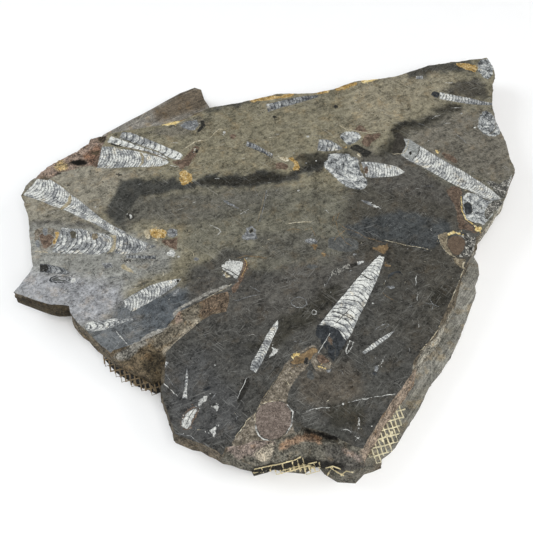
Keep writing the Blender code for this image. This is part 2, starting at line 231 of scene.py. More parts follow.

# Tones of the broken stone round the plate, like those of the polished face, and painted shade in its pits,
# gaps, notch and front crack and under its left tip
ROCKS = [
    ("back_left_crust", CRUST, 5, 1.0,
     "8,176 50,178 64,172 84,170 104,168 110,146 150,134 215,112 205,100 110,100 20,130"),
    ("crust_ochre", STRAW, 2.5, 0.8, "56,163 60,161 66,163 67,168 62,171 56,168"),
    ("crust_grey", GRIT, 3, 0.9, "75,168 84,165 92,166 94,171 84,173 76,173"),
    ("crust_rust", RUST, 3, 0.9, "84,154 90,150 98,146 104,147 104,160 98,166 90,164 86,159"),
    ("crust_dark", PEAT, 2, 0.9, "96,138 104,135 106,141 99,142"),
    ("crust_nick", PEAT, 2, 0.9, "90,151 98,149 102,153 97,155 91,154"),
    # A pit in the crust, painted black as the shade in it
    ("crust_pit_shade", SHADE_BLACK, 1.5, 1.0, "71,162 73,159.6 80,158.6 86,159.4 88,162 85,164.6 77,165.6 72,164.6"),
    ("crust_spot", SHADE_BLACK, 1.5, 0.9, "57,173 60,171.6 63,173 61,175 58,175"),
    ("left_margin", BUFF, 5, 0.7, "14,180 26,176 30,230 34,280 20,284 12,240"),
    # The plate's edge face under its left tip, painted dark brown as the shade on it
    ("left_tip_side_shade", PEAT, 5, 1.0, "6,294 40,300 72,304 84,322 80,334 60,326 30,316 6,308"),
    ("lower_left_margin", ROCK, 4, 1.0, "70,316 84,320 104,342 122,360 118,372 96,358 78,340"),
    ("groove", LOAM, 3, 1.0,
     "112,352 150,334 176,322 200,300 232,288 240,300 200,326 176,344 164,362 160,386 124,372"),
    ("groove_bank", DOVE, 2.5, 1.0,
     "112,356 127,347 139.7,338 152,331 171,325 176,328 158,338 144,346 131,356 122,362"),
    ("groove_speckles", GRIT, 3, 0.9,
     "150,340 165,330 176,322 180,309 200,303 200,322 184,334 168,344 156,348"),
    ("groove_foot", BUFF, 1.6, 0.8, "196,319 200,321 186,336 173,348 164,356 162,352 172,343 184,332"),
    ("groove_streak", CRUST, 1.5, 0.9, "177,309 181,308 182,320 177,324 175,318"),
    ("groove_end", NUT, 3, 0.95, "203,296 212,294 226,290 234,290 230,300 228,312 214,314 204,320 200,312"),
    ("groove_shade", PEAT, 9, 0.85, "140,362 150,353 160,352 166,360 162,378 148,376"),
    # The plate's side in the notch, painted near black as the shade behind the net
    ("notch_side_shade", PEAT, 4, 1.0, "112,364 140,376 162,382 166,400 150,392 124,380 110,374"),
    ("front_wall", MOUSE, 4, 1.0,
     "225,450 250,436 280,440 300,426 345,432 362,440 372,470 350,490 250,480 222,462"),
    ("front_left_pink", PINK, 4, 1.0, "224,450 236,436 250,422 266,438 274,444 262,456 240,458"),
    ("front_lump", BUFF, 2, 1.0, "255,455 258,448 271,443 275,450 270,460 258,461"),
    ("front_ridge", TOAST, 2, 1.0,
     "279,448 284,442 293,437 308,433 321,438 320,443 306,441 294,444 285,449"),
    # A deep crack in the front, painted black as the shade in it
    ("front_crack_shade", SHADE_BLACK, 2, 1.0,
     "301.5,427 308,428 315,431 322,432.6 330,434 339,436.5 339,440 332,439.6 322,437 313,434.6 306,431"),
    ("front_rough", UMBER, 5, 0.9, "326,442 345,446 364,456 366,470 340,478 326,462"),
    ("front_rough_pink", PINK, 2.5, 0.9, "340,448 350,450 362,457 360,461 346,456"),
    # Painted shadow under the plate's broken overhang, behind the net at the front
    ("front_overhang_shadow", SHADE_BLACK, 2, 0.9,
     "252,467 280,461.5 297,457.5 309,457 323,460 345,464 344,470 314,472 254,478"),
    ("right_edge", SAWN_PALE, 3, 1.0,
     "500,190 470,262 460,300 436,336 412,368 430,380 470,330 500,270 520,200"),
    ("right_face", SAND, 3, 1.0,
     "411,372 410,376 398,391 386.5,407.5 377,426 361,452 368,474 384,442 394,420 404,402 414,385 "
     "418,370"),
]

# Tones of the backing slab, where it shows past the plate, and painted shadow where it lies behind the net
# and under the plate's left tip
SLAB_ROCKS = [
    ("ledge", SAWN, 6, 1.0, "440,262 490,250 490,300 440,400 396,460 370,460 400,400 430,330"),
    ("ledge_foot", SAWN_DARK, 8, 0.9, "412,390 440,380 420,420 392,462 374,462 386,430"),
    ("ledge_mark", SAWN_DARK, 4, 0.7, "438,330 452,322 458,330 446,346 434,344"),
    ("wedge", SAWN_GREY, 6, 1.0, "90,140 150,100 190,84 210,84 212,108 160,128 120,136"),
    ("wedge_brown", SAWN_BROWN, 8, 1.0, "150,112 180,92 203,86 210,100 206,108 180,116 160,122"),
    ("slab_front", MOUSE, 4, 1.0, "225,440 372,440 376,500 225,500"),
    # Painted shadow on the slab behind the strands of the net at the front
    ("slab_front_shadow", SHADE_BLACK, 2.5, 0.95,
     "252,458 284,452 312,450 346,458 348,468 330,470 312,468 296,469 280,474 254,476"),
    ("slab_front_foot", MOUSE, 3, 0.9,
     "256,474 280,473 300,468 312,470 326,473 340,480 330,484 290,486 256,484"),
    # Painted shadow on the slab behind the net in the notch
    ("slab_notch_shadow", SHADE_BLACK, 4, 1.0, "100,350 170,376 166,402 130,392 100,372"),
    # Painted shade on the slab under the plate's left tip
    ("slab_left_tip_shade", PEAT, 5, 1.0, "6,294 76,300 90,340 60,340 6,320"),
]

# Looks of a shell: share of white stone at its mouth and at its tip
CHALK, WHITE, PALE, GREY, DIM = 0.95, 0.82, 0.65, 0.42, 0.2

# The shells, cut lengthwise: pairs of spots on their two walls, from the mouth to the tip
SHELLS = {
    "ribbed_cone_back_left": dict(look=(0.66, CHALK), septa=29, bow=1.5, tip=(169, 162), cuts=[
        ((102, 146.5), (97, 168)), ((113, 146.5), (110, 168.3)), ((122, 149), (121, 167.5)),
        ((131, 150), (131, 167)), ((141, 152), (141, 167)), ((150, 154.5), (150, 167)),
        ((160, 157), (160, 166.2)), ((167, 160), (167, 164))]),
    "upper_band": dict(look=(0.45, 1.05), septa=11, bow=0.3, cuts=[
        ((122, 132), (119, 138.5)), ((131, 132.5), (128, 141)), ((141, 136.5), (137, 144.5)),
        ((150, 140), (147, 147.5)), ((160, 144), (157, 151)), ((170, 148.5), (166, 156)),
        ((180, 152.5), (174, 159.5)), ((183, 155), (180.5, 159.5))]),
    "lower_band": dict(look=(0.80, 0.90), septa=12, bow=0.3, tip=(168, 159), cuts=[
        ((111, 136), (107, 142)), ((121, 139.5), (118, 145)), ((131, 143), (128, 147.8)),
        ((141, 146.8), (139, 150)), ((150, 149.5), (149, 152.5)), ((160, 153), (159, 156.2))]),
    "long_cone_left": dict(look=(WHITE, PALE), septa=44, bow=2.1, cuts=[
        ((40, 176), (23, 195)), ((51, 180), (41, 201)), ((62, 186.5), (50, 205)),
        ((69.5, 193.5), (59, 208)), ((78, 199), (68, 211.5)), ((88, 207), (79, 217)),
        ((99, 216.5), (94, 223.5)), ((109, 223), (104, 229)), ((120, 229), (114, 235)),
        ((126, 232), (123, 236))]),
    "chambered_body": dict(look=(0.58, PALE), septa=12, bow=1.5, cuts=[
        ((62, 227.3), (52, 252)), ((70, 228.3), (62, 253.5)), ((82, 228.7), (75, 253.5)),
        ((92, 232), (87.5, 254.4)), ((103.3, 233.4), (99.6, 254.4)), ((109, 235.7), (107, 251.6)),
        ((112.5, 239), (111.5, 247))]),
    "chambered_tip": dict(look=(0.60, 0.45), septa=15, bow=1.3, tip=(156, 246), cuts=[
        ((117, 231), (115, 253)), ((124, 232), (123, 254.5)), ((132, 236.5), (131, 254)),
        ((141, 240.5), (141, 252))]),
    "thin_ribbed_strip": dict(look=(GREY, DIM), septa=9, bow=0.2, cuts=[
        ((126, 255), (126, 258)), ((156, 255.5), (156, 259))]),
    "pronged_cone": dict(look=(PALE, WHITE), septa=23, bow=0.8, tip=(181, 279), cuts=[
        ((124, 300), (124.5, 307)), ((131, 295.5), (132, 312)), ((140, 290.5), (141, 307)),
        ((150, 285.5), (151, 301.5)), ((160, 282), (162, 295)), ((168, 280.5), (171, 289)),
        ((175, 279), (177, 284.5))]),
    "lobed_cone": dict(look=(WHITE, GREY), septa=11, bow=1.6, cuts=[
        ((85, 325.5), (85.5, 329)), ((88, 322), (89.5, 332)), ((96, 321), (97, 331)),
        ((104, 320), (106, 329.5)), ((112, 318.5), (114, 327)), ((120, 318), (122, 323.5)),
        ((128, 318.4), (129, 320.8)), ((136, 317.6), (137, 319.4))]),
    "dark_tooth": dict(look=(DIM, GREY), septa=7, bow=0.8, tip=(70, 273), cuts=[
        ((40, 263.5), (40, 272)), ((48, 264), (49, 273)), ((56, 266), (57, 273.5)),
        ((64, 268), (64, 274.5))]),
    "small_needle": dict(look=(WHITE, GREY), septa=9, bow=0.2, cuts=[
        ((182, 398), (187.5, 398.5)), ((183.5, 393), (187, 393)), ((184.5, 386), (187.5, 386)),
        ((185.5, 376), (188, 376)), ((186.7, 368), (187.3, 368))]),
    "notch_corner_ribs": dict(look=(WHITE, PALE), septa=6, bow=0.3, cuts=[
        ((157, 370), (161, 373)), ((160.5, 366), (164.5, 369)), ((166, 361), (169, 362.5))]),
    "slender_cone": dict(look=(GREY, CHALK), septa=24, bow=0.9, tip=(278, 320), cuts=[
        ((250, 369), (256, 373)), ((251.5, 362), (259.5, 367)), ((256.5, 354), (264.5, 358)),
        ((261.5, 345), (269, 348)), ((266.5, 335), (273, 338)), ((273, 325), (278, 328))]),
    "great_cone": dict(look=(WHITE, CHALK), septa=21, bow=0.9, cuts=[
        ((318.7, 324.4), (346.7, 340.5)), ((323.9, 318.8), (352, 333)), ((330.4, 310.4), (357.5, 320)),
        ((336, 303), (362, 311)), ((344.4, 293.6), (366.8, 302)), ((352.8, 283.3), (371.5, 291.7)),
        ((361.2, 273.5), (376.5, 281)), ((371.5, 262), (382.5, 265)), ((379, 255.3), (384.5, 257))]),
    "dotted_rod_tip": dict(look=(CHALK, CHALK), septa=2, bow=0.2, cuts=[
        ((357, 261.5), (358, 265)), ((364, 260.5), (364.5, 262))]),
    "small_ribbed_cone": dict(look=(WHITE, PALE), septa=17, bow=0.3, tip=(395, 330.5), cuts=[
        ((362, 352), (365, 354)), ((370, 345.5), (373, 349)), ((379, 339), (382, 342.5)),
        ((387, 334), (389, 337))]),
    "corner_rod": dict(look=(WHITE, GREY), septa=19, bow=0.3, cuts=[
        ((440, 92), (439.5, 98.8)), ((456, 95.5), (455, 101.8)), ((470, 98), (469, 104)),
        ((482, 101), (481, 105)), ((493, 103), (492.5, 105.2))]),
    "long_cone_right": dict(look=(0.72, WHITE), septa=42, bow=1.1, tip=(501, 199), cuts=[
        ((409, 139.5), (401, 154.5)), ((419.5, 145.5), (410, 161.5)), ((430, 152), (422, 166.8)),
        ((440, 158), (435, 174)), ((452, 164.8), (449, 182)), ((465, 172), (461, 187.8)),
        ((478, 180.5), (472, 191.5)), ((490, 188.5), (482, 197.2)), ((497, 194.5), (492, 200.8))]),
    "cone_by_crystals": dict(look=(PALE, CHALK), septa=17, bow=0.5, tip=(405, 172), cuts=[
        ((361, 162), (366, 177)), ((370, 161.5), (371, 177.8)), ((380, 163), (380.5, 177.3)),
        ((390, 164.8), (391, 176.5)), ((397, 166.5), (398, 175.5))]),
    "spotted_stub": dict(look=(GREY, PALE), septa=7, bow=0.5, tip=(342.5, 148.5), cuts=[
        ((319, 139.5), (317, 150.5)), ((325, 139), (325, 151.3)), ((331, 140.5), (331, 151)),
        ((337, 144), (337, 150.5))]),
    "faint_ribs_back": dict(look=(GREY, DIM), septa=16, bow=0.3, cuts=[
        ((266, 104), (268, 112)), ((280, 101), (281, 107.5)), ((292, 98), (293, 104.5)),
        ((304, 96), (305, 101)), ((318, 95), (318.5, 97))]),
    "faint_ribs_middle": dict(look=(GREY, DIM), septa=9, bow=0.3, cuts=[
        ((247, 141), (246, 146)), ((255, 144), (254, 149)), ((264, 149), (263, 153)),
        ((273, 154), (272, 158))]),
    "faint_ribs_corner": dict(look=(WHITE, GREY), septa=4, bow=0.3, cuts=[
        ((416, 76), (416, 79)), ((423, 75.5), (423, 78.5))]),
}

# Patches of other stone in the face: name, finish, outline
PATCHES = [
    ("rust_left_of_ribs", "rust", "82,151 90,150 102,147 104,156 100,168 92,167 84,163 80,157"),
    ("tan_by_crust", "tan", "52,164 60,163 65,166 62,172 54,172"),
    ("dark_wedge", "black", "108.5,142 115,142.5 120,144.5 125,147 118,146.8 110,144.8"),
    ("body_rust", "marl", "34,228 44,227 54,228 61,231 60,241 54,248 44,250 36,246 33,237"),
    ("body_brown", "rust", "40,233 50,232 55,238 52,247 44,250 39,243"),
    ("body_ochre", "ochre", "54,231 60,232 61,238 58,244 53,246 51,241 55,237"),
    ("grey_spot_upper", "bluegrey", "43,228 48,227 48,234 44,236"),
    ("grey_spot_lower", "bluegrey", "35,241 39,240 40,247 36,249"),
    ("gap_tan", "oat",
     "110,233 115,234.6 118.4,239 118.6,245 116,250.6 110,254 105,255 110,250 112.6,245 112.8,239"),
    ("oval_shell_rim", "jet", "48,279 52,275.5 60,275 67,275.5 71,277 71,282 66,283.5 58,283.8 51,282.5"),
    ("oval_shell", "dusk",
     "51,279.2 54,276.8 60,276.2 66.5,276.6 70.6,278 70.6,281 65.6,282.2 58,282.4 53,281.4"),
    ("oval_shell_streak", "speckled", "57,278 63,277.4 69,278.4 68,280.6 60,280.4"),
    ("oval_shell_end", "calcite", "70,277.5 75,276 77.5,278 76.5,281.5 73,283 70,283"),
    ("crescent_past_cone", "bluegrey", "173,291 178,288 180,291 177,296 173,296"),
    ("slender_tail", "black",
     "244.6,376.6 251.6,377.6 251,384 247.6,392 242.6,400 237,404 235.6,401 238,394 241,386"),
    ("triangle_by_slender", "calcite", "272,346 276,348.5 281,348.5 276,354 270,359.5 269,356 271,351"),
    ("body_chamber", "jet",
     "318.7,324.4 325.9,324.8 332.3,326.4 338.7,330.1 342.9,336 346.7,340.3 344.5,345 341,352 337,358 "
     "334,362 329,358 326,350 320,341 315,334 316,328"),
    ("chamber_streak", "brown", "327,332 331,334 333,340 331,347 328,341"),
    ("tube", "marl",
     "315,343 306,348 296,352 287,361 280,372.3 270,390 259,404 251,417 246,423 238,433 228,447 250,462 "
     "300,450 296,437 292,420 287,404 289.6,389.3 304.5,370 312,361.6 318,350"),
    ("tube_top", "amber", "315,346 305,351 296,354 288,364 296,366 306,362 313,360 320,352"),
    ("tube_rim", "straw", "290,357 295,352.5 302,351.5 300,355 293,359.5"),
    ("tube_spot", "black", "304,358 308,357 309,362 306,364 303.5,362"),
    ("second_chamber", "marl", "313,354 319,352 328,356 332,364 330,371 322,373 314,370 311,362"),
    ("second_chamber_brown", "rust", "317,355 322,354 328,358 330,363 322,364 316,361"),
    ("second_chamber_blue", "jet", "327,343.5 334,346 337,356 334,363 330,360 327,352"),
    ("second_chamber_cream", "straw", "316,366 320,364.4 326,366 325,369 318,368.4"),
    ("second_chamber_pale", "bluegrey", "325,368 331,368 332,372 327,374"),
    ("dotted_rod", "pepper", "329,273 333,269.6 340,266.2 350,262.6 351.6,267.6 342,272.6 333,277 329,277"),
    ("below_chamber_blue", "dusk", "305,372 312,370 316,374 313,380 306,379"),
    ("nodule", "nodule",
     "261,403 270,400 279,400 287,404 292,412 291,426 286,434 276,440 266,440 258,434 254,424 255,412"),
    ("two_part_upper", "calcite", "207,394 209,395.5 206,402 201.5,405.5 200,407 197,404.5 200,399"),
    ("two_part_rim", "rust",
     "191,406 196,405.5 199.5,409 199,413 195,419 192.5,425 187,431.5 181,429 179.5,424 183,416.5 "
     "187,410.5"),
    ("two_part_lower", "calcite",
     "192,407.5 195.5,407 198,409 197.5,412 193.5,418 191,424 186,430 181.5,427.5 181,424 184,417 "
     "188,411.5"),
    ("two_part_blue", "jet", "204,387 209,386 212,388 208,391 203,391"),
    ("triangle_low_one", "calcite", "208,409 213,405.5 217,404 220,407 217,411 215,407.5"),
    ("triangle_low_two", "calcite", "205,432 209,430 213,427 217,425.5 216,432 212.5,438.5 210,433"),
    ("dagger", "bluegrey",
     "358.5,199.5 364,199.5 371,202 378,206 385.5,209.8 378,208.5 371,206.5 364,203.5"),
    ("dagger_front", "calcite", "371,202.5 378,206.2 385,209.6 378,208 371,205.8"),
    ("rod", "bluegrey", "222,201 225,199 231,202 235,205 240,208.5 241,210 236,208.5 228,205"),
    ("grey_wedge", "bluegrey", "247,227 252,224.5 257,229 256,234 259,240 241,240 243,233"),
    ("grey_wedge_window", "black", "249,229 253,228 254,232 250,234"),
    ("back_crescent_pale", "bluegrey", "180,126 186,121 194,119.5 199,121 199,127 194,131 186,130.5"),
    ("back_crescent", "black",
     "200,119 205,120 205.5,124 204,128 199,133 194,133 198,130 200,126 200.5,122"),
    ("crystals_middle", "crystals",
     "326.7,154.3 332.3,153.3 341.6,152.4 350,154.3 359.3,159 360.3,170 365.9,177.6 367.7,184 364,189.7 "
     "357.5,190.7 349,187.9 341.6,184.1 336,178.5 330.4,172 324.8,169.2 323.9,163.6 326.7,159"),
    ("crystals_upper", "crystals",
     "339.7,134.7 345.3,131 351,131.4 358,131.4 361.2,135.6 360.3,140.3 354.7,143 350,145.4 345.3,143 "
     "340.7,139.3"),
    ("crystals_right", "dusk_crystals",
     "480.5,113.7 484,110.2 489.6,111.6 495.2,117.2 500,124.2 500.8,132.6 498,135.4 491,137 484,134.7 "
     "480.5,131.2 477,128.4 477.7,121.4"),
    ("crystals_right_rim", "crystals",
     "495,117.5 500,124.2 500.8,132.6 498,135.4 491,137 485,134.5 491,133.5 496,129 496,123"),
    ("crystals_low_right", "crystals",
     "466,192 475,193 485,199 492,201 500,203 497,210 490,219 484,226 478,224 468,221 464,216 462,206 "
     "462,197"),
    ("crystals_black_chamber", "jet", "463.5,203 467,201 472,204 473,210 470,215 465,213"),
    ("crystals_rim", "pepper",
     "484,180 492,180.4 499,184 505,180 511,175 512,181 508.6,192 503,201 497,200 493,190"),
    ("crystals_by_tip", "pepper", "490,202 498,199 504,202 499,209 492,214 486,221 484,214"),
    ("crystals_corner", "dusk_crystals", "478,60 486,58 493,60 494,72 490,80 482,77 477,70"),
    ("white_patch_brown", "rust",
     "240,260 247,260 249,266 246,274 242,282 238,290 232,295 231,290 236,282 240,274 242,267"),
    ("white_patch", "calcite",
     "220,266.5 226,261.5 231,259.5 238,260.5 245,260.5 243,268 240,275 236,279.5 230,275 224,270"),
    ("white_patch_crumb", "cream", "222,272 227,273 231,278 226,279"),
    ("cobbled", "dusk", "327,238 336,236 348,237 359,240 360,249 348,253 334,251 327,246"),
    ("halo", "black", "124.5,215 130,210.5 135.5,218 134,220.5 127,219.5"),
    ("halo_crystal", "calcite", "127.5,215 130,212.5 133,217.5 131,219"),
    ("ochre_blob", "ochre", "180,171 184,169.5 189,171 193,175 192,181 188,185 183,185 179,181 178.5,175"),
    ("ochre_patch_cream", "cream", "143,231 147,229 151,228 152,234 150,239 145,238"),
    ("ochre_patch", "ochre",
     "150,229.5 155,227.5 161,228 166,231 167,234 166,238 160,238.5 154,237.5 150.5,236"),
    ("ochre_patch_foot", "cream", "150,238 156,237.5 160,239 156,241"),
    ("ochre_patch_grey", "speckled", "166.5,229 172,227.5 178,229 178,236 172,238 167,236"),
    ("ochre_patch_rust", "rust", "160,241 166,238.5 172,238 178,236 177.5,243 178.5,250 173,250 167,247"),
    ("cream_blob", "calcite", "166,252 171,249.5 176,251 176,257 170,258 166.5,256"),
    ("rust_by_bands", "rust",
     "170,160 180,160 186,156 190,149 196,145 200,148 198,154 193,160 188,166 181,170 176,166"),
    ("rust_by_bands_black", "black", "194,149 198,148.5 199,152 196,154.5"),
    ("rust_by_bands_white", "calcite", "193,149 195,148 195.5,151 193.5,152"),
    ("cream_curl", "cream", "218,128 221,127 223,129 220,131"),
    ("white_curl", "calcite", "222,132 225,130 227,132 224,135"),
    ("rust_by_curl", "rust", "230,134 235,133 238,137 233,140 230,138"),
    ("hook_rust", "rust", "273,163 280,162 287,163 290,168 284,170 276,169"),
    ("hook_cream", "cream", "279,157 284,156 289,157.5 290,161 284,162 280,160"),
    ("ochre_hook", "ochre",
     "287,158 292,156.5 296,159 298,163 300,167 298,170.5 294,171.5 291,169 294,166 293,162 289,160"),
    ("rust_over_crystals", "rust", "354,130 357,125 362,125 367,129 369,133 362,132.5 357,131"),
    ("rust_by_crystals", "rust", "366,134 375,134 382,132 380,137 374,142 370,147 362,146 361,142 363,137"),
    ("black_by_crystals", "black",
     "350,146 356,143.5 362,147 368,150 373,151 370,156 364,158 358,152 350,150"),
    ("cream_by_crystals", "cream", "356,152 360,152.5 361,156 362.5,159.5 358,157"),
    ("ochre_by_crystals", "ochre", "343.5,147 347,146 350,147 346,148.7"),
    ("olive_spot_crystals", "tan", "360,163 365,162 368,166 367,173 362,174 359,169"),
    ("corner_ochre", "ochre", "455,62 465,63 475,64 478,68 476,73 469,71 462,68 457,66"),
    ("rim_ochre_left", "straw",
     "160,126 161,123.2 167,121.4 174,121.4 179,119.4 181,121.4 176,124.6 168,126"),
    ("rim_ochre_left_two", "ochre",
     "178,120 184,116.4 190,113 197,110 204,106.6 207,108 201,112 193,116 186,119.6 181,122"),
    ("rim_ochre_middle", "ochre",
     "248,101 252,99 257,97 262,95.6 268,96.4 275,95 281,95.6 286,93.4 295,92.6 295,96 284,98.6 276,99 "
     "270,100.6 262,100.8 252,103"),
    ("rim_ochre_right_one", "ochre", "310,95 318,90.6 326,89 331,88.4 330,93 322,94"),
    ("rim_ochre_right_two", "ochre", "334,88 342,85.4 350,83.4 357,81 358,85 350,88 342,90.4 335,91"),
    ("rim_ochre_right_three", "straw", "360,80 368,76.6 380,73.4 384,75 380,79 370,82 362,84"),
    ("sliver_straw", "straw", "433.6,149.6 437,149.2 439.6,152.5 437.6,154.8 435,152.6"),
    ("sliver_brown", "brown",
     "440.6,152 446,153 453,156 458,159.5 458.4,162.8 453,163 446,159.5 442,155.6"),
    ("brown_tongue", "brown",
     "446,190 450,186 456,185.6 461,188 462.6,192 461,200 461.6,210 464,218 470,223.6 477,228 480,232 "
     "476,234 466,230 458,229.6 457,222 455.6,210 452,200 447.4,195"),
    ("brown_tongue_dark", "rust", "464,222 471,225 475,229 472,232 465,228"),
    ("brown_tongue_straw", "straw", "474,227 479,225.6 482.4,228 481,232 477,233 474,230"),
    ("disc_crystals", "pepper",
     "452,234 460,231.6 468,232.6 476,237 477.6,243 475,251 470,257 462,258.5 455,257"),
    ("disc_wing", "tan", "437,234.5 441,232.6 448,231 449,240 451,250 454,257 448,254.5 442,246 438.6,240"),
    ("disc", "disc",
     "448,237.5 453,235.5 460,235.4 464.6,238.6 466,245 463.5,251.5 458,255.6 452.5,254.6 448,249 "
     "446.5,243"),
    ("disc_straw", "straw", "447,235.8 447.6,232 455,230.4 461.5,231.6 460.4,235.2 455,234 450,236"),
    ("disc_foot", "tan", "451,257.5 456,257.6 462,259 466,260 465,266 462,270 459,266 455,264"),
    ("disc_foot_cream", "cream", "462,262 465.4,261 465,268 463,270 461.6,266"),
    ("orange_triangle", "amber",
     "371,245.5 379,247 384,243.5 390,242.5 388,249 386,255 383,254 379,252 374,250"),
    ("smear_one", "amber", "382,264 387,263 392,266 386,268"),
    ("smear_two", "amber", "311,244 316,243 319,247 314,250"),
    ("smear_three", "amber", "320,253 325,251.6 328.5,255 323,258"),
    ("bank", "bank",
     "112,356.5 120,351 127,347.4 140,339 152.4,330.6 165,326.6 176,324.4 177,328 164,334 152,341 "
     "140,350 128,359 118,363"),
    ("rim_of_groove", "bank",
     "172,316 177,308 186,302 196,298.4 204,292 216,288 230,283.6 233,286 220,291 206,296 198,302 "
     "186,306 179,312 176,319"),
    ("left_bits_one", "speckled", "101,263 106,261.4 113,263 112,268 104,268.6"),
    ("left_bits_two", "pepper", "119,259 128,257.6 136,259 134,262.6 122,263"),
    ("left_bits_three", "oat", "119,265 124,263 128,266 133,270 138,275 131,273 123,270"),
    # The same pit in the crust, painted black as the shade in it
    ("pit_crust_shade", "black", "72,161 78,159.3 86,160 88,163 80,165.3"),
    ("spot_left_one", "black", "57,173 62,172.7 62.7,174.6 58,175"),
    ("spot_left_two", "black", "65.5,184.6 70,184 72,186 67,186.7"),
    ("spot_left_three", "black", "101,181 104,180 105,183.6 102,184.4"),
    ("spot_cross", "black",
     "113.6,174 118,173 119.5,171.5 121,173.4 125.3,174.5 121,176 119,178 117.5,176"),
    ("spot_back_one", "black", "271,116.5 275,115 279,117 275,119"),
    ("spot_back_two", "black", "260.5,112 262.5,111 263,113.4 261,114"),
    ("spot_star", "black", "331.8,106 334,105 335,103 337,105.4 339.3,107 336.6,108.6 335,110.4 333.6,108"),
    ("moon_left", "jet",
     "387,282 388,275 393,270.5 399,270 404,273 405,278 402,275 397,272.6 392,275 389.5,280"),
    ("moon_grey", "bluegrey", "386.5,287 391,285 396.7,286.6 392,290"),
    ("lens_outline", "dusk", "305.7,266 310,263.3 316,264 320,266.5 315,269.4 309,269"),
    ("white_fleck_patch", "speckled", "192.5,258 197,257 200,259.5 195,262"),
    ("cream_leaf_patch", "speckled", "351,253.5 355,252.5 357.5,255 353,257"),
    ("web_spot", "speckled", "303,239 309,237.6 316,239 319,242 312,244 305,243"),
    ("small_cone_low", "calcite", "386.5,353 384,361 381,366.5 379,364 382,358"),
    ("small_cone_tail", "bluegrey", "372.8,368 376,365 379,367 378,372 374,373"),
    ("small_cone_shade", "jet", "371.7,372 377,371 378,375 374,377.6"),
    ("upright_low", "calcite", "358,416 360,417 360.5,424 359,429 357.6,423"),
    ("corner_mouth", "jet", "430.8,92 434,90.3 439.9,92 439.6,98.7 434,97.5 431,95"),
    ("dark_mouth", "smoke",
     "397,131 402,134 406,137.6 408.4,142 408,147 405,152.4 400,155 391,154.6 392,148 395,140"),
]

# Windows that break through a shell: name, finish, outline
SHELL_WINDOWS = [
    ("pale_chamber", "silver",
     "403.6,138.6 409,139 414,142 419.5,146 418.4,152 413.4,159.4 407,158 400.6,155 404,150 406,144"),
    ("cone_mouth", "jet",
     "317.5,325 325.9,325 332.3,326.6 338.7,330.3 342.9,336 346.9,341.5 340,343 328,336"),
    ("olive_window", "olive_window", "69.7,232 73,230.6 76.3,232 75.5,238.5 71,238"),
    ("brown_window", "tan", "92,233.6 97,233 98,238 94,240 91.5,237"),
    ("joint_ring", "oat", "70,194 71.5,197 71,202 67,207 62,210 59.5,208.5 64,205 67.5,201 68.5,197"),
    ("chamber_spot", "black", "409,152 411,151 412,154 410,155.4"),
    ("cone_blotch", "brown", "364,168 367,166 368.7,170 367,174 364.5,173"),
    ("rod_black", "black", "350,264.5 357,261.8 357.8,265 351.2,268"),
    ("needle_tip_black", "black", "176,280 179,279.3 179.4,281 177,283"),
    ("tooth_black", "black", "40,264 47,264.4 49,268 46,272 40,271.5"),
]

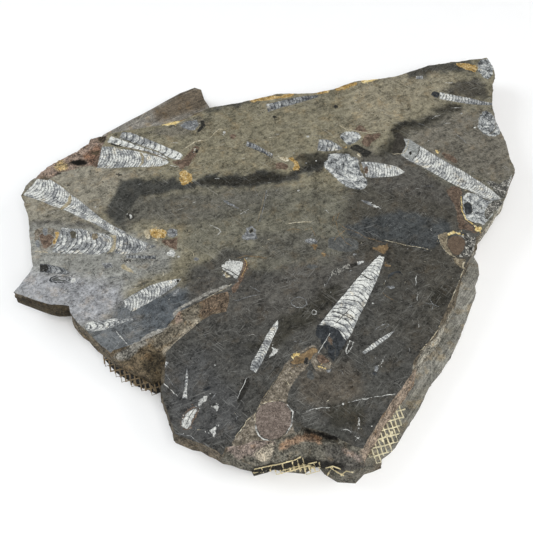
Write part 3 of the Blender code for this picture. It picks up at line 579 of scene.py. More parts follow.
# Veins and lines: name, finish, width in millimetres, spots along the line
VEINS = [
    ("cream_crescent", "oat", 3.2, "140,152 143,157 142.5,162 139,166.5"),
    ("between_bands", "black", 0.9, "111.7,133.5 124.8,139 134,143.3 143.5,145.2 150,147.5 165,155"),
    ("under_lower_band", "rust", 1.2, "125,146.6 150,152.5 168,160"),
    ("brown_stripe", "tan", 1.6, "50,178 58,183 66,189"),
    ("body_white_line", "calcite", 1.0, "82,241.3 92,242.3"),
    ("body_cream_line", "cream", 1.3, "34,251 41,251.6 48,252.5"),
    ("tube_edge", "tan", 1.1, "288,366 281,373 277,379 271,387 268,392 262,399 259,405"),
    ("tube_edge_low", "cream", 1.0, "252,416 248,420 244,426 240,431 235,437"),
    ("tube_curve_one", "cream", 0.9, "287,372 291,373 294,376"),
    ("tube_curve_two", "cream", 0.9, "283,380 287,382 290,386"),
    ("nodule_crescent", "calcite", 1.6, "255,424 256,430 259,435 264,439.5 269,441"),
    ("nodule_right", "calcite", 1.3, "287,404 292.8,411.7 292.5,420 290.7,426.7 286.4,433.6"),
    ("nodule_top", "tan", 1.6, "258,408 262,403 270,400 280,401"),
    ("nodule_top_cream", "cream", 0.8, "262,404 268,401.6 276,401"),
    ("nodule_left", "cream", 0.9, "255,424 254.5,415 258,408"),
    ("cone_strong_septum", "black", 1.3, "361,274.5 369,278.5 376,281"),
    ("cone_strong_septum_low", "black", 1.1, "331,311 342,314 350,318 357,321"),
    ("cone_crack", "black", 1.0, "350,308.5 344.4,314 340,319 336,323.5"),
    ("cone_left_wall", "black", 0.7, "319,324 330.4,310 344.4,293.3 361.2,273 379,255"),
    ("rod_line", "bluegrey", 0.7, "332,275 328,281 325,287"),
    ("sliver_inside", "black", 1.8, "347.8,350.6 349,347.6 351.2,344"),
    ("sliver_left", "calcite", 1.3, "346.3,354 346.2,351 347.2,346.6 349.2,342 350,340"),
    ("sliver_right", "calcite", 1.2, "346.8,353.8 349.8,349.8 351.8,346 353.6,342"),
    ("sliver_top", "calcite", 1.1, "349.4,340.2 352.4,342 354,342.4"),
    ("small_loop", "bluegrey", 0.9, "375,330 380,326 386,323.5 389,325 385,328 379,329.6"),
    ("mouth_rim", "cream", 1.0, "392,153.8 398,153.8 404,153.3 407,148 408.8,139.3"),
    ("mouth_dark_arc", "black", 1.5, "419.6,146.6 418,153.6 413.3,158.5"),
    ("stub_outline", "bluegrey", 0.7, "312.7,134.2 318,136 323.9,138.4"),
    ("brown_line_middle", "tan", 1.1, "264,150 270,154 273,158"),
    ("two_part_line", "black", 0.8, "195,409 190,416 185,426"),
    ("fork", "calcite", 0.9, "240,214 244,211.6 249,209"),
    ("fork_side", "calcite", 0.7, "244,211.6 247,213"),
    ("rim_line_right", "calcite", 1.6, "512,174.6 509,184 506.4,198.4 502,205 496.6,211"),
    ("white_patch_rim", "amber", 1.6, "236,258.6 247,255.6 257,257 267,258"),
    ("white_patch_rim_bright", "ochre", 0.9, "244,258 247,264 245,270 241,277"),
    ("slender_tail_wall", "calcite", 0.7, "247,377 243,385 239,393 237.4,399"),
    ("body_chamber_wall", "black", 1.4, "346.7,340.5 344.5,346 341,352.5 337,358.5 334,362"),
    ("body_chamber_crack", "calcite", 0.9, "330,333 326,340 322,347 318,353"),
    ("groove_thread", "cream", 0.9, "232,284 222,290 210,296 201,303"),
    ("white_patch_line", "black", 1.0, "220,266 226,269 233,273 240,277"),
    ("cream_vein_back", "cream", 1.8, "184,149 190,145 196,141 205,140 209,139"),
    ("cream_vein_back_two", "cream", 1.3, "210,138 213,134.5 220,128.5"),
    ("rust_curve", "calcite", 1.0, "170,165 175,166.6 179,166.5"),
    ("cream_over_crystals", "cream", 1.1, "336.9,123.5 345.3,129 357.5,131 369.6,133 380.8,131.9"),
    ("brown_streak_crystals", "rust", 1.3, "336,138 340,144 344,149"),
    ("tongue_vein", "straw", 1.9, "461,196 461.6,203 462,210 466,219 472,223.6 478,227.6"),
    ("tongue_bit", "cream", 1.8, "464,190 468.6,190"),
    ("disc_line", "cream", 0.9, "437.6,235 441,245 448.5,253.8 457,258"),
    ("line_by_moon", "amber", 0.9, "382.7,292.7 388,297 394,300"),
    ("squiggle_one", "amber", 1.0, "332,221 334,216 338,213 340,212"),
    ("squiggle_two", "amber", 1.0, "340,223.6 346,229 351,230 360,234 367,238"),
    ("squiggle_three", "amber", 1.1, "334,241 337,236 342,233 345,230"),
    ("white_dash_centre", "cream", 1.3, "288.4,223.5 300,221.8 312,221.5"),
    ("ochre_dash_centre", "amber", 1.0, "286.5,230 294,229 301.5,230"),
    ("ochre_bend_centre", "amber", 1.0, "304.7,230 311,227 315.5,236"),
    ("right_cream_line", "cream", 0.9, "383.6,240 392,241.8 405,245 415,246.5 432,250"),
    ("squiggle_link", "amber", 0.8, "367,238 375,240 384,243"),
    ("squiggle_back", "amber", 0.8, "340,212 336,222 338,230 346,243 352,246"),
    ("long_white_left", "calcite", 1.0, "116.4,331.5 125,341 134,352"),
    ("line_low_one", "calcite", 0.8, "160,380 169,388 178,397"),
    ("line_low_two", "bluegrey", 0.7, "166,374 170,380 174,386"),
    ("line_low_three", "calcite", 0.9, "306,411.5 314,409 330,407"),
    ("line_low_right", "calcite", 1.0, "348,402.5 360,399.6 372,397.5"),
    ("line_low_right_two", "calcite", 0.9, "374,397 386,395.3 398,393.5"),
    ("line_front_left", "bluegrey", 0.8, "174,433 190,436 200,443 209,447"),
    ("check_mark", "calcite", 1.1, "209,224 219,229 221,232 217,235"),
    ("upright_vein", "bluegrey", 1.0, "267,190 265,200 263,210 260,222"),
    ("upright_vein_brown", "tan", 1.3, "265,192 261.5,208 257.5,222"),
    ("rod_pair_one", "bluegrey", 1.0, "235,301 248,297 260,294"),
    ("rod_pair_two", "bluegrey", 0.9, "250,286 261,292"),
    ("streak_left", "bluegrey", 1.1, "101.5,281 110,278 119,276.4"),
    ("streak_left_two", "calcite", 0.9, "60.4,290.4 69.7,294"),
    ("streak_left_three", "calcite", 0.9, "30,275.5 34.3,279.2"),
    ("arc_low", "calcite", 0.8, "340.8,430 346,428.8 351,432.5"),
    ("cross_low_one", "calcite", 0.7, "354.7,436 361,440.5"),
    ("cross_low_two", "calcite", 0.7, "355,440.5 360,436.5"),
    ("upright_right_one", "calcite", 0.9, "416,275 416,286"),
    ("upright_right_two", "calcite", 0.8, "417.5,292.5 417.5,301"),
    ("upright_right_three", "calcite", 0.7, "418.7,322.5 418.7,328"),
    ("triangle_right", "bluegrey", 0.9, "406,300 413,293 417,303 406,300"),
    ("web_right", "bluegrey", 0.8, "425,303 432,304 440,307"),
    ("web_right_two", "bluegrey", 0.7, "430,299 433,305 431,311"),
    ("dash_band", "calcite", 1.6, "214.5,178.5 219.5,178.5"),
    ("dash_corner", "calcite", 1.3, "444.8,82.7 452.5,82.7"),
    ("dash_right_one", "calcite", 1.0, "451,107.7 461.6,107.7"),
    ("dash_right_two", "calcite", 1.0, "442.7,123 450.4,123"),
    ("dash_right_three", "bluegrey", 0.9, "421,186 433.6,186"),
    ("dash_back_one", "cream", 0.9, "269,137.5 273,137.5"),
    ("dash_back_two", "calcite", 1.0, "171,142.7 178,142.7"),
    ("curve_right_one", "bluegrey", 0.9, "418,123.5 424,125 430,128.4"),
    ("curve_right_two", "calcite", 0.9, "432,118.6 436,116 440.6,115"),
    ("curve_right_three", "bluegrey", 0.9, "455,133 461,138 468,144"),
    ("crescent_one", "calcite", 0.9, "323.9,211 326,209.6 328.5,212.9"),
    ("crescent_two", "bluegrey", 0.9, "303.8,216 306,215.7 308,218"),
    ("white_triangle_outline", "calcite", 0.9, "253,281 257,274 262,283 257,282 253,281"),
    ("ring_oval", "bluegrey", 1.0,
     "291,302 294,298 300,297 306,299.6 307,304 302,307.6 296,307 292,304.6 291,302"),
    ("ring_small", "calcite", 1.1, "311.7,312 313.6,310 316.4,311.4 315.6,313.8 312.8,314 311.7,312"),
    ("ring_cone", "calcite", 0.8, "135,317.5 136,315.6 137.6,317 137,319.3 135.4,319 135,317.5"),
    ("spot_lines", "calcite", 0.8, "249,335.6 252.6,334 256,336"),
    ("right_rim_line", "cream", 1.2, "464,269 460,280 454,294 449,306 443,320 438,330 429,342 420,351"),
    ("dark_arc_right", "black", 1.2, "382.7,315 391,313.4 400,313"),
    ("dark_arc_low", "black", 1.2, "352.5,449.6 361,454.4"),
    ("circle_left", "black", 0.9, "90.7,274.5 92,272.7 94.5,273.6 94,276 91.5,276 90.9,275"),
]

# Share of a vein's width that is left once its stone has thinned out along both edges
VEIN_SHARE = 0.85

# Round flecks: spots and radius in millimetres
FLECKS = [
    (461.6, 113.4, 1.5), (215, 365, 1.0), (372.9, 303.2, 1.2), (298.5, 190.5, 1.3),
    (95.4, 206.8, 1.2), (306, 163, 1.1), (316, 160.7, 1.0), (343, 404, 1.2), (307.8, 136.5, 1.9),
    (475, 127.5, 1.6), (178.5, 256.5, 1.4), (224, 275, 1.3),
]
BLACK_FLECKS = [(197.5, 241.5, 1.1), (150, 186, 0.9), (140, 226, 1.1), (236, 246, 1.0)]


def turned(outline):
    """Above zero for an outline that runs counter-clockwise."""
    return sum(a.cross(b) for a, b in zip(outline, outline[1:] + outline[:1]))


class Inlay:
    """A closed area of the polished face with a finish of its own."""

    def __init__(self, outline, finish, measure=None, depth=1.1):
        self.outline = outline if turned(outline) > 0 else outline[::-1]
        self.finish = finish
        self.measure = measure
        self.depth = depth

    def depths(self, places):
        """How deep in the inlay each place lies, which thins its stone out to its edge."""
        if self.depth is None:
            return np.clip(from_outline(np.array(places), self.outline), 0, 4)
        return [self.depth] * len(places)


def frayed(outline, step, amount):
    """An outline walked in short steps and made uneven, as the edge of a stone in a stone is."""
    points = []
    for start, end in zip(outline, outline[1:] + outline[:1]):
        count = max(1, round((end - start).length / step))
        for i in range(count):
            place = start.lerp(end, i / count)
            broad = noise.noise_vector(Vector((place.x, place.y, 3)) / (5 * step)).xy
            fine = noise.noise_vector(Vector((place.x, place.y, 9)) / (1.6 * step)).xy
            points.append(place + broad * amount + fine * amount * 0.4)
    return points


def rounded(outline):
    """An outline with its corners cut."""
    cut = []
    for start, end in zip(outline, outline[1:] + outline[:1]):
        cut += [start.lerp(end, 0.22), start.lerp(end, 0.78)]
    return cut


def ribbon(spots, width):
    """The outline of a line of uneven width that thins out to its ends."""
    walked = []
    for start, end in zip(spots, spots[1:]):
        count = max(1, round((end - start).length / 2.0))
        walked += [start.lerp(end, i / count) for i in range(count)]
    walked.append(spots[-1])
    left, right = [], []
    for i, place in enumerate(walked):
        along = (walked[min(i + 1, len(walked) - 1)] - walked[max(i - 1, 0)]).normalized()
        across = Vector((-along.y, along.x))
        taper = min(1, 0.35 + 0.65 * min(i, len(walked) - 1 - i) / 1.5)
        uneven = 1 + 0.7 * noise.noise(Vector((place.x, place.y, 7)) / 3)
        sway = across * 0.9 * noise.noise(Vector((place.x, place.y, 11)) / 4)
        reach = across * width / 2 * taper * uneven
        left.append(place + sway + reach)
        right.append(place + sway - reach)
    return left + right[::-1]


def oval(middle, radii, turn, count=10):
    """An oval outline."""
    points = []
    for i in range(count):
        angle = 2 * math.pi * i / count
        arm = Vector((radii[0] * math.cos(angle), radii[1] * math.sin(angle)))
        arm.rotate(Matrix.Rotation(turn, 2))
        points.append(middle + arm)
    return points


class Shell:
    """An orthoceras shell cut lengthwise, as cross lines from its mouth to its tip.

    Each cross line has its two wall spots, how many septa lie before it, its distance from the
    mouth and the share of white stone there.
    """

    SPACING = 3.0

    def __init__(self, cuts, look, septa, bow, tip=None):
        walls = [(spot(*left), spot(*right)) for left, right in cuts]
        if tip:
            end = spot(*tip)
            across = (walls[-1][1] - walls[-1][0]).normalized() * 0.25
            walls.append((end - across, end + across))
        pairs = []
        for (left, right), (next_left, next_right) in zip(walls, walls[1:]):
            length = ((next_left + next_right) - (left + right)).length / 2
            count = max(1, round(length / self.SPACING))
            for i in range(count):
                share = i / count
                pairs.append((left.lerp(next_left, share), right.lerp(next_right, share)))
        pairs.append(walls[-1])
        widest = max((right - left).length for left, right in pairs)
        along, septum = 0.0, 0.0
        marks = [(0.0, 0.0)]
        for (left, right), (next_left, next_right) in zip(pairs, pairs[1:]):
            step = ((next_left + next_right) - (left + right)).length / 2
            along += step
            septum += step / ((next_right - next_left).length + 0.6 * widest)
            marks.append((along, septum))
        self.bow = bow
        self.lines = []
        for (left, right), (reach, passed) in zip(pairs, marks):
            white = look[0] + (look[1] - look[0]) * reach / along
            left, right = self.uneven(left), self.uneven(right)
            self.lines.append((left, right, septa * passed / septum, reach, white))

    @staticmethod
    def uneven(place):
        return place + noise.noise_vector(Vector((place.x, place.y, 1)) / 4).xy * 0.35

    def measure(self, number, place):
        """The shader's two vectors at a place between two cross lines."""
        first, second = self.lines[number], self.lines[number + 1]
        near = self.from_line(first, place)
        far = self.from_line(second, place)
        share = min(1, max(0, near / max(near + far, 1e-6)))
        left, right = first[0].lerp(second[0], share), first[1].lerp(second[1], share)
        across = right - left
        side = 2 * (place - left).dot(across) / max(across.length_squared, 1e-6) - 1
        septum, along, white = (
            low + (high - low) * share for low, high in zip(first[2:], second[2:])
        )
        return (septum, max(-1, min(1, side)), along), (across.length / 2, self.bow, white)

    @staticmethod
    def from_line(line, place):
        across = (line[1] - line[0]).normalized()
        return abs(across.cross(place - line[0]))

    def inlays(self):
        for i, (first, second) in enumerate(zip(self.lines, self.lines[1:])):
            outline = [first[0], first[1], second[1], second[0]]
            yield Inlay(outline, "shell", lambda place, i=i: self.measure(i, place))


def crumbs(rng, outline, finish, share):
    """Small bits of a patch's stone that lie loose round it."""
    middle = sum(outline, Vector((0, 0))) / len(outline)
    found = []
    for corner in outline:
        if rng.random() < share:
            away = corner - middle
            place = middle + away * rng.uniform(1.04, 1.35)
            radii = rng.uniform(0.35, 1.1), rng.uniform(0.3, 0.7)
            found.append(Inlay(oval(place, radii, rng.uniform(0, 3.1), 7), finish))
    return found


# Stones whose patches have loose bits round them, and how many of their corners have one
CRUMBLING = ("ochre", "rust", "cream", "amber", "calcite", "tan", "straw")
CRUMB_SHARE = 0.22

# The bits of broken shell over the whole face: how many, and their finishes
HASH_BITS = 760
HASH_FINISHES = ["faint"] * 10 + ["bluegrey"] * 5 + ["calcite"] * 2 + ["cream"]


def shell_hash(rng, rim, count):
    """The many small bits of broken shell that the whole face is strewn with."""
    found = []
    low = Vector((min(p.x for p in rim), min(p.y for p in rim)))
    high = Vector((max(p.x for p in rim), max(p.y for p in rim)))
    while len(found) < count:
        place = Vector((rng.uniform(low.x, high.x), rng.uniform(low.y, high.y)))
        turn = rng.gauss(0.5, 0.9)
        along = Vector((math.cos(turn), math.sin(turn)))
        across = Vector((-along.y, along.x))
        kind = rng.random()
        length = rng.uniform(1.2, 4.5) * (2.2 if rng.random() < 0.12 else 1)
        finish = rng.choice(HASH_FINISHES)
        if kind < 0.5:
            line = [place - along * length / 2, place + along * length / 2]
            found.append(Inlay(ribbon(line, rng.uniform(0.35, 0.8)), finish))
        elif kind < 0.78:
            sag = across * length * rng.uniform(0.15, 0.4)
            line = [place - along * length / 2, place + sag, place + along * length / 2]
            found.append(Inlay(ribbon(line, rng.uniform(0.4, 0.9)), finish))
        elif kind < 0.9:
            radii = rng.uniform(0.4, 1.0), rng.uniform(0.3, 0.7)
            found.append(Inlay(oval(place, radii, turn, 7), finish))
        else:
            radii = rng.uniform(0.5, 1.6), rng.uniform(0.4, 0.9)
            found.append(Inlay(oval(place, radii, turn, 8), "black"))
    return found


def face_inlays(rim):
    """Everything in the polished face, each laid over those before it."""
    rng = random.Random(FACE_SEED)
    inlays = shell_hash(rng, rim, HASH_BITS)
    for _, finish, line in PATCHES:
        outline = rounded(on_face(line))
        inlays.append(Inlay(frayed(outline, 1.0, 1.6), finish, depth=None))
        if finish in CRUMBLING:
            inlays += crumbs(rng, outline, finish, CRUMB_SHARE)
    for facts in SHELLS.values():
        inlays += Shell(**facts).inlays()
    for _, finish, line in SHELL_WINDOWS:
        inlays.append(Inlay(frayed(on_face(line), 0.9, 0.7), finish, depth=3.0))
    for _, finish, width, line in VEINS:
        outline = ribbon(on_face(line), width * VEIN_SHARE)
        inlays.append(Inlay(outline, finish, depth=0.9))
    for finish, flecks in (("calcite", FLECKS), ("black", BLACK_FLECKS)):
        for x, y, radius in flecks:
            outline = oval(spot(x, y), (radius, radius * 0.8), 0.4)
            inlays.append(Inlay(frayed(outline, 0.6, 0.3), finish))
    return inlays


def from_outline(places, outline):
    """How far each place lies inside an outline, negative outside, as numpy arrays."""
    corners = np.array(outline)
    ends = np.roll(corners, -1, axis=0)
    distance = np.full(len(places), 1e9)
    inside = np.zeros(len(places), bool)
    x, y = places[:, 0], places[:, 1]
    for (ax, ay), (bx, by) in zip(corners, ends):
        span = (bx - ax) ** 2 + (by - ay) ** 2
        share = np.clip(((x - ax) * (bx - ax) + (y - ay) * (by - ay)) / max(span, 1e-9), 0, 1)
        gap = np.hypot(x - ax - share * (bx - ax), y - ay - share * (by - ay))
        distance = np.minimum(distance, gap)
        if ay != by:
            crosses = (ay > y) != (by > y)
            inside ^= crosses & (x < ax + (y - ay) * (bx - ax) / (by - ay))
    return np.where(inside, distance, -distance)


def seen_at(places):
    """The pixels of the photograph at which places of the object show, as numpy arrays."""
    focal = FRAME_SIDE * LENS / SENSOR
    away = np.array(places) - np.array(CAMERA_PLACE)
    forward = away[:, 1] * math.cos(LOOK_DOWN) - away[:, 2] * math.sin(LOOK_DOWN)
    upward = away[:, 1] * math.sin(LOOK_DOWN) + away[:, 2] * math.cos(LOOK_DOWN)
    middle = FRAME_SIDE / 2
    return np.stack([middle + focal * away[:, 0] / forward, middle - focal * upward / forward], 1)


def layered(pixels, base, areas):
    """Colours at pixels, from soft areas laid over a base colour and over each other."""
    colours = np.tile(np.array(base), (len(pixels), 1))
    for _, tone, soft, strength, line in areas:
        share = np.clip(from_outline(pixels, pixels_in(line)) / soft + 0.5, 0, 1)
        share = (share * share * (3 - 2 * share) * strength)[:, None]
        colours = colours * (1 - share) + np.array(tone) * share
    return colours


def swaying(places, size, reach):
    """Smooth uneven shifts for the borders of the areas, one for each place."""
    shifts = np.array([
        noise.turbulence_vector(place / size, 3, False)[:2] for place in places
    ])
    return (shifts - shifts.mean(0)) * reach


def coloured(mesh, areas):
    """Gives each vertex the limestone's polished tone and its broken tone, with the painted sheen and
    painted shade that their tables hold.
    """
    places = [vert.co.copy() for vert in mesh.bm.verts]
    pixels = seen_at(places)
    swayed = pixels + swaying(places, 24, 4.5) + swaying(places, 6, 1.6)
    tones = layered(swayed, OLIVE_MID, TONES)
    rocks = layered(pixels + swaying(places, 9, 2.5), ROCK, areas)
    for vert, tone, rock in zip(mesh.bm.verts, tones, rocks):
        vert[mesh.tone] = (*tone, 1)
        vert[mesh.rock] = (*rock, 1)


# Longest edges of the mesh: over the polished face, inside its patches, on the plate's sides and
# on the slab
FACE_STEP = 3.0
PATCH_STEP = 1.3
SIDE_STEP = 3.2
SLAB_STEP = 4.5

# A face is level where its normal's z passes this, and two heights are one within a hair
LEVEL = 0.9
HAIR = 0.01


class Mesh:
    """A mesh under construction with the attributes that the finishes read."""

    def __init__(self, name, node):
        self.name = name
        self.bm = bmesh.new()
        self.bm.from_mesh(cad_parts[node].data)
        bmesh.ops.remove_doubles(self.bm, verts=self.bm.verts, dist=0.00002)
        bmesh.ops.scale(self.bm, verts=self.bm.verts, vec=(1 / MM,) * 3)
        self.tone = self.bm.verts.layers.float_color.new("tone")
        self.rock = self.bm.verts.layers.float_color.new("rock")
        self.shell_a = self.bm.loops.layers.float_vector.new("shell_a")
        self.shell_b = self.bm.loops.layers.float_vector.new("shell_b")
        self.depth = self.bm.loops.layers.float.new("depth")

    def made(self, finishes, node, slot):
        """Makes the object, rides it on the root and hides its CAD node."""
        bmesh.ops.scale(self.bm, verts=self.bm.verts, vec=(MM,) * 3)
        mesh = bpy.data.meshes.new(self.name)
        self.bm.to_mesh(mesh)
        self.bm.free()
        for finish in finishes:
            mesh.materials.append(finish)
        obj = bpy.data.objects.new(self.name, mesh)
        bpy.context.scene.collection.objects.link(obj)
        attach(obj, "root")
        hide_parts(node)
        return obj


def refined(bm, longest, chosen):
    """Splits the edges of the chosen faces until none is longer than a length."""
    for _ in range(5):
        edges = {edge for face in bm.faces if chosen(face) for edge in face.edges}
        split = [edge for edge in edges if edge.calc_length() > longest]
        if not split:
            break
        bmesh.ops.subdivide_edges(bm, edges=split, cuts=1)
        many = [face for face in bm.faces if len(face.verts) > 3 and chosen(face)]
        bmesh.ops.triangulate(bm, faces=many)


def open_loops(bm):
    """The loops of vertices round the open edges, each in order."""
    links = {}
    for edge in bm.edges:
        if edge.is_boundary:
            corner = edge.link_loops[0]
            links[corner.link_loop_next.vert] = corner.vert
    loops = []
    while links:
        first = next(iter(links))
        loop = [first]
        while links[loop[-1]] is not first:
            loop.append(links[loop[-1]])
        for vert in loop:
            del links[vert]
        loops.append(loop)
    return loops


def staggered(rim, step):
    """Rows of spots over the whole rim, each shifted a little."""
    xs, ys = [p.x for p in rim], [p.y for p in rim]
    rows = int((max(ys) - min(ys)) / (step * 0.866)) + 1
    columns = int((max(xs) - min(xs)) / step) + 1
    spots = []
    for row in range(rows):
        for column in range(columns):
            x = min(xs) + (column + row % 2 / 2) * step
            y = min(ys) + row * step * 0.866
            shift = noise.noise_vector(Vector((x, y, 5)) / 3).xy * step * 0.2
            spots.append(Vector((x, y)) + shift)
    depth = from_outline(np.array(spots), rim)
    return [place for place, inside in zip(spots, depth) if inside > step * 0.4]


def polished_face(mesh, finish_numbers):
    """Fills the open rim of the plate with the polished face and all that shows in it."""
    bm = mesh.bm
    loops = sorted(open_loops(bm), key=len, reverse=True)
    rims = [[vert.co.xy for vert in loop] for loop in loops]
    inlays = face_inlays(rims[0])
    points = [place for rim in rims for place in rim]
    owners = [vert for loop in loops for vert in loop]
    faces = []
    first = 0
    for rim in rims:
        numbers = list(range(first, first + len(rim)))
        faces.append(numbers if turned(rim) > 0 else numbers[::-1])
        first += len(rim)
    for inlay in inlays:
        faces.append(list(range(len(points), len(points) + len(inlay.outline))))
        points += inlay.outline
        if inlay.depth is None:
            points += staggered(inlay.outline, PATCH_STEP)
    points += staggered(rims[0], FACE_STEP)
    spots, _, triangles, sources, _, origins = delaunay_2d_cdt(points, [], faces, 1, 0.02)
    holes = set(range(1, len(rims)))
    verts = {}
    for number, source in enumerate(sources):
        held = [i for i in source if i < len(owners)]
        if held:
            verts[number] = owners[held[0]]
    laid = {}
    for triangle, origin in zip(triangles, origins):
        if 0 not in origin or holes & set(origin):
            continue
        for number in triangle:
            if number not in verts:
                place = spots[number]
                verts[number] = bm.verts.new((place.x, place.y, PLATE_TOP))
        top = max(origin)
        corners = [verts[number] for number in triangle]
        if len(set(corners)) < 3 or bm.faces.get(corners):
            continue
        face = bm.faces.new(corners)
        if top >= len(rims):
            laid.setdefault(top - len(rims), []).extend(face.loops)
    for number, corners in laid.items():
        inlay = inlays[number]
        places = [corner.vert.co.xy for corner in corners]
        for corner, place, depth in zip(corners, places, inlay.depths(places)):
            corner.face.material_index = finish_numbers[inlay.finish]
            corner[mesh.depth] = depth
            if inlay.measure:
                corner[mesh.shell_a], corner[mesh.shell_b] = inlay.measure(place)


def roughened(bm, verts, size, reach, chips):
    """Moves verts along their normals by broken-stone relief."""
    bm.normal_update()
    moves = []
    for vert in verts:
        place = vert.co / size
        broad = noise.fractal(place, 0.7, 2.1, 4)
        facets = noise.voronoi(place * 2.3)[0]
        step = (facets[1] - facets[0]) - 0.35
        moves.append(vert.normal * (reach * broad + chips * step))
    for vert, move in zip(verts, moves):
        vert.co += move


def kept_in_box(verts, top):
    """Holds verts inside the model's box, and under a height."""
    low, high = (corner / MM for corner in cad_box)
    for vert in verts:
        vert.co.x = min(high.x, max(low.x, vert.co.x))
        vert.co.y = min(high.y, max(low.y, vert.co.y))
        vert.co.z = min(top, max(0, vert.co.z))


# Finishes


class Wire:
    """A shader socket that Python's operators work on, each adding one Math node."""

    def __init__(self, finish, socket):
        self.finish = finish
        self.socket = socket

    def maths(self, operation, *others):
        values = {0: self}
        values.update({i + 1: other for i, other in enumerate(others)})
        return self.finish.add("ShaderNodeMath", {"operation": operation}, values)

    def __add__(self, other):
        return self.maths("ADD", other)

    def __radd__(self, other):
        return self.maths("ADD", other)

    def __sub__(self, other):
        return self.maths("SUBTRACT", other)

    def __rsub__(self, other):
        return self.finish.add("ShaderNodeMath", {"operation": "SUBTRACT"}, {0: other, 1: self})

    def __mul__(self, other):
        return self.maths("MULTIPLY", other)

    def __rmul__(self, other):
        return self.maths("MULTIPLY", other)

    def clipped(self):
        return self.finish.add(
            "ShaderNodeMath", {"operation": "ADD", "use_clamp": True}, {0: self, 1: 0.0}
        )

    def ramp(self, low, high):
        """0 at low, 1 at high and smooth between."""
        return self.finish.add(
            "ShaderNodeMapRange",
            {"interpolation_type": "SMOOTHSTEP"},
            {"Value": self, "From Min": low, "From Max": high},
        )


class Finish:
    """A material under construction, with its places measured in millimetres."""

    def __init__(self, name):
        self.material = bpy.data.materials.new(name)
        self.material.use_nodes = True
        self.nodes = self.material.node_tree.nodes
        self.shader = self.nodes["Principled BSDF"]
        place = self.add("ShaderNodeTexCoord", {}, {}, "Object")
        self.place = self.scaled(place, 1 / MM)

    def add(self, kind, settings, sockets, output=0):
        """Adds a node with its settings, then links or sets its sockets."""
        node = self.nodes.new(kind)
        for name, value in settings.items():
            setattr(node, name, value)
        self.join(node, sockets)
        return Wire(self, node.outputs[output])

    def join(self, node, sockets):
        for name, value in sockets.items():
            if isinstance(value, Wire):
                self.material.node_tree.links.new(value.socket, node.inputs[name])
            else:
                node.inputs[name].default_value = value

    def scaled(self, vector, size):
        return self.add(
            "ShaderNodeVectorMath", {"operation": "SCALE"}, {0: vector, "Scale": size}
        )

    def noise(self, size, detail=3.0, rough=0.55, warp=0.0, place=None, shift=0.0):
        """Soft noise whose blotches are about a size across."""
        place = place or self.place
        if shift:
            place = self.moved(place, (shift,) * 3)
        return self.add(
            "ShaderNodeTexNoise",
            {},
            {
                "Vector": place,
                "Scale": 1 / size,
                "Detail": detail,
                "Roughness": rough,
                "Distortion": warp,
            },
        )

    def cells(self, size, feature="F1", output="Distance", place=None):
        """Cells about a size across: the distance from their middles or edges, or their colours."""
        return self.add(
            "ShaderNodeTexVoronoi",
            {"feature": feature},
            {"Vector": place or self.place, "Scale": 1 / size},
            output,
        )

    def named(self, attribute, output="Vector"):
        return self.add("ShaderNodeAttribute", {"attribute_name": attribute}, {}, output)

    def split(self, vector):
        node = self.nodes.new("ShaderNodeSeparateXYZ")
        self.join(node, {0: vector})
        return [Wire(self, socket) for socket in node.outputs]

    def mixed(self, share, first, second, blend="MIX"):
        """Two colours mixed: the first at share 0 and the second at 1."""
        first, second = (
            (*c, 1) if isinstance(c, tuple) and len(c) == 3 else c for c in (first, second)
        )
        return self.add(
            "ShaderNodeMix",
            {"data_type": "RGBA", "blend_type": blend},
            {0: share, 6: first, 7: second},
            2,
        )

    def shaded(self, colour, factor):
        """A colour made lighter or darker by a number."""
        return self.scaled(colour, factor)

    def moved(self, place, push):
        return self.add("ShaderNodeVectorMath", {"operation": "ADD"}, {0: place, 1: push})

    def swayed(self, size, reach, shift=0.0):
        """The places, pushed about by noise so that what is drawn there bends."""
        place = self.moved(self.place, (shift,) * 3)
        push = self.add(
            "ShaderNodeTexNoise", {}, {"Vector": place, "Scale": 1 / size, "Detail": 2.0}, 1
        )
        return self.moved(place, self.scaled(self.moved(push, (-0.5,) * 3), reach))

    def drawn_out(self, place, turn, length):
        """Places in which a pattern is drawn out along a direction of the XY plane."""
        return self.add(
            "ShaderNodeMapping",
            {"vector_type": "TEXTURE"},
            {"Vector": place, "Rotation": (0, 0, turn), "Scale": (length, 1, 1)},
        )

    def relief(self, height, strength, distance):
        return self.add(
            "ShaderNodeBump", {}, {"Height": height, "Strength": strength, "Distance": distance}
        )

    def finished(self, colour, roughness, normal=None, specular=0.5):
        sockets = {"Base Color": colour, "Roughness": roughness}
        if normal:
            sockets["Normal"] = normal
        self.join(self.shader, sockets)
        self.shader.inputs["Specular IOR Level"].default_value = specular
        return self.material


POLISH = 0.27


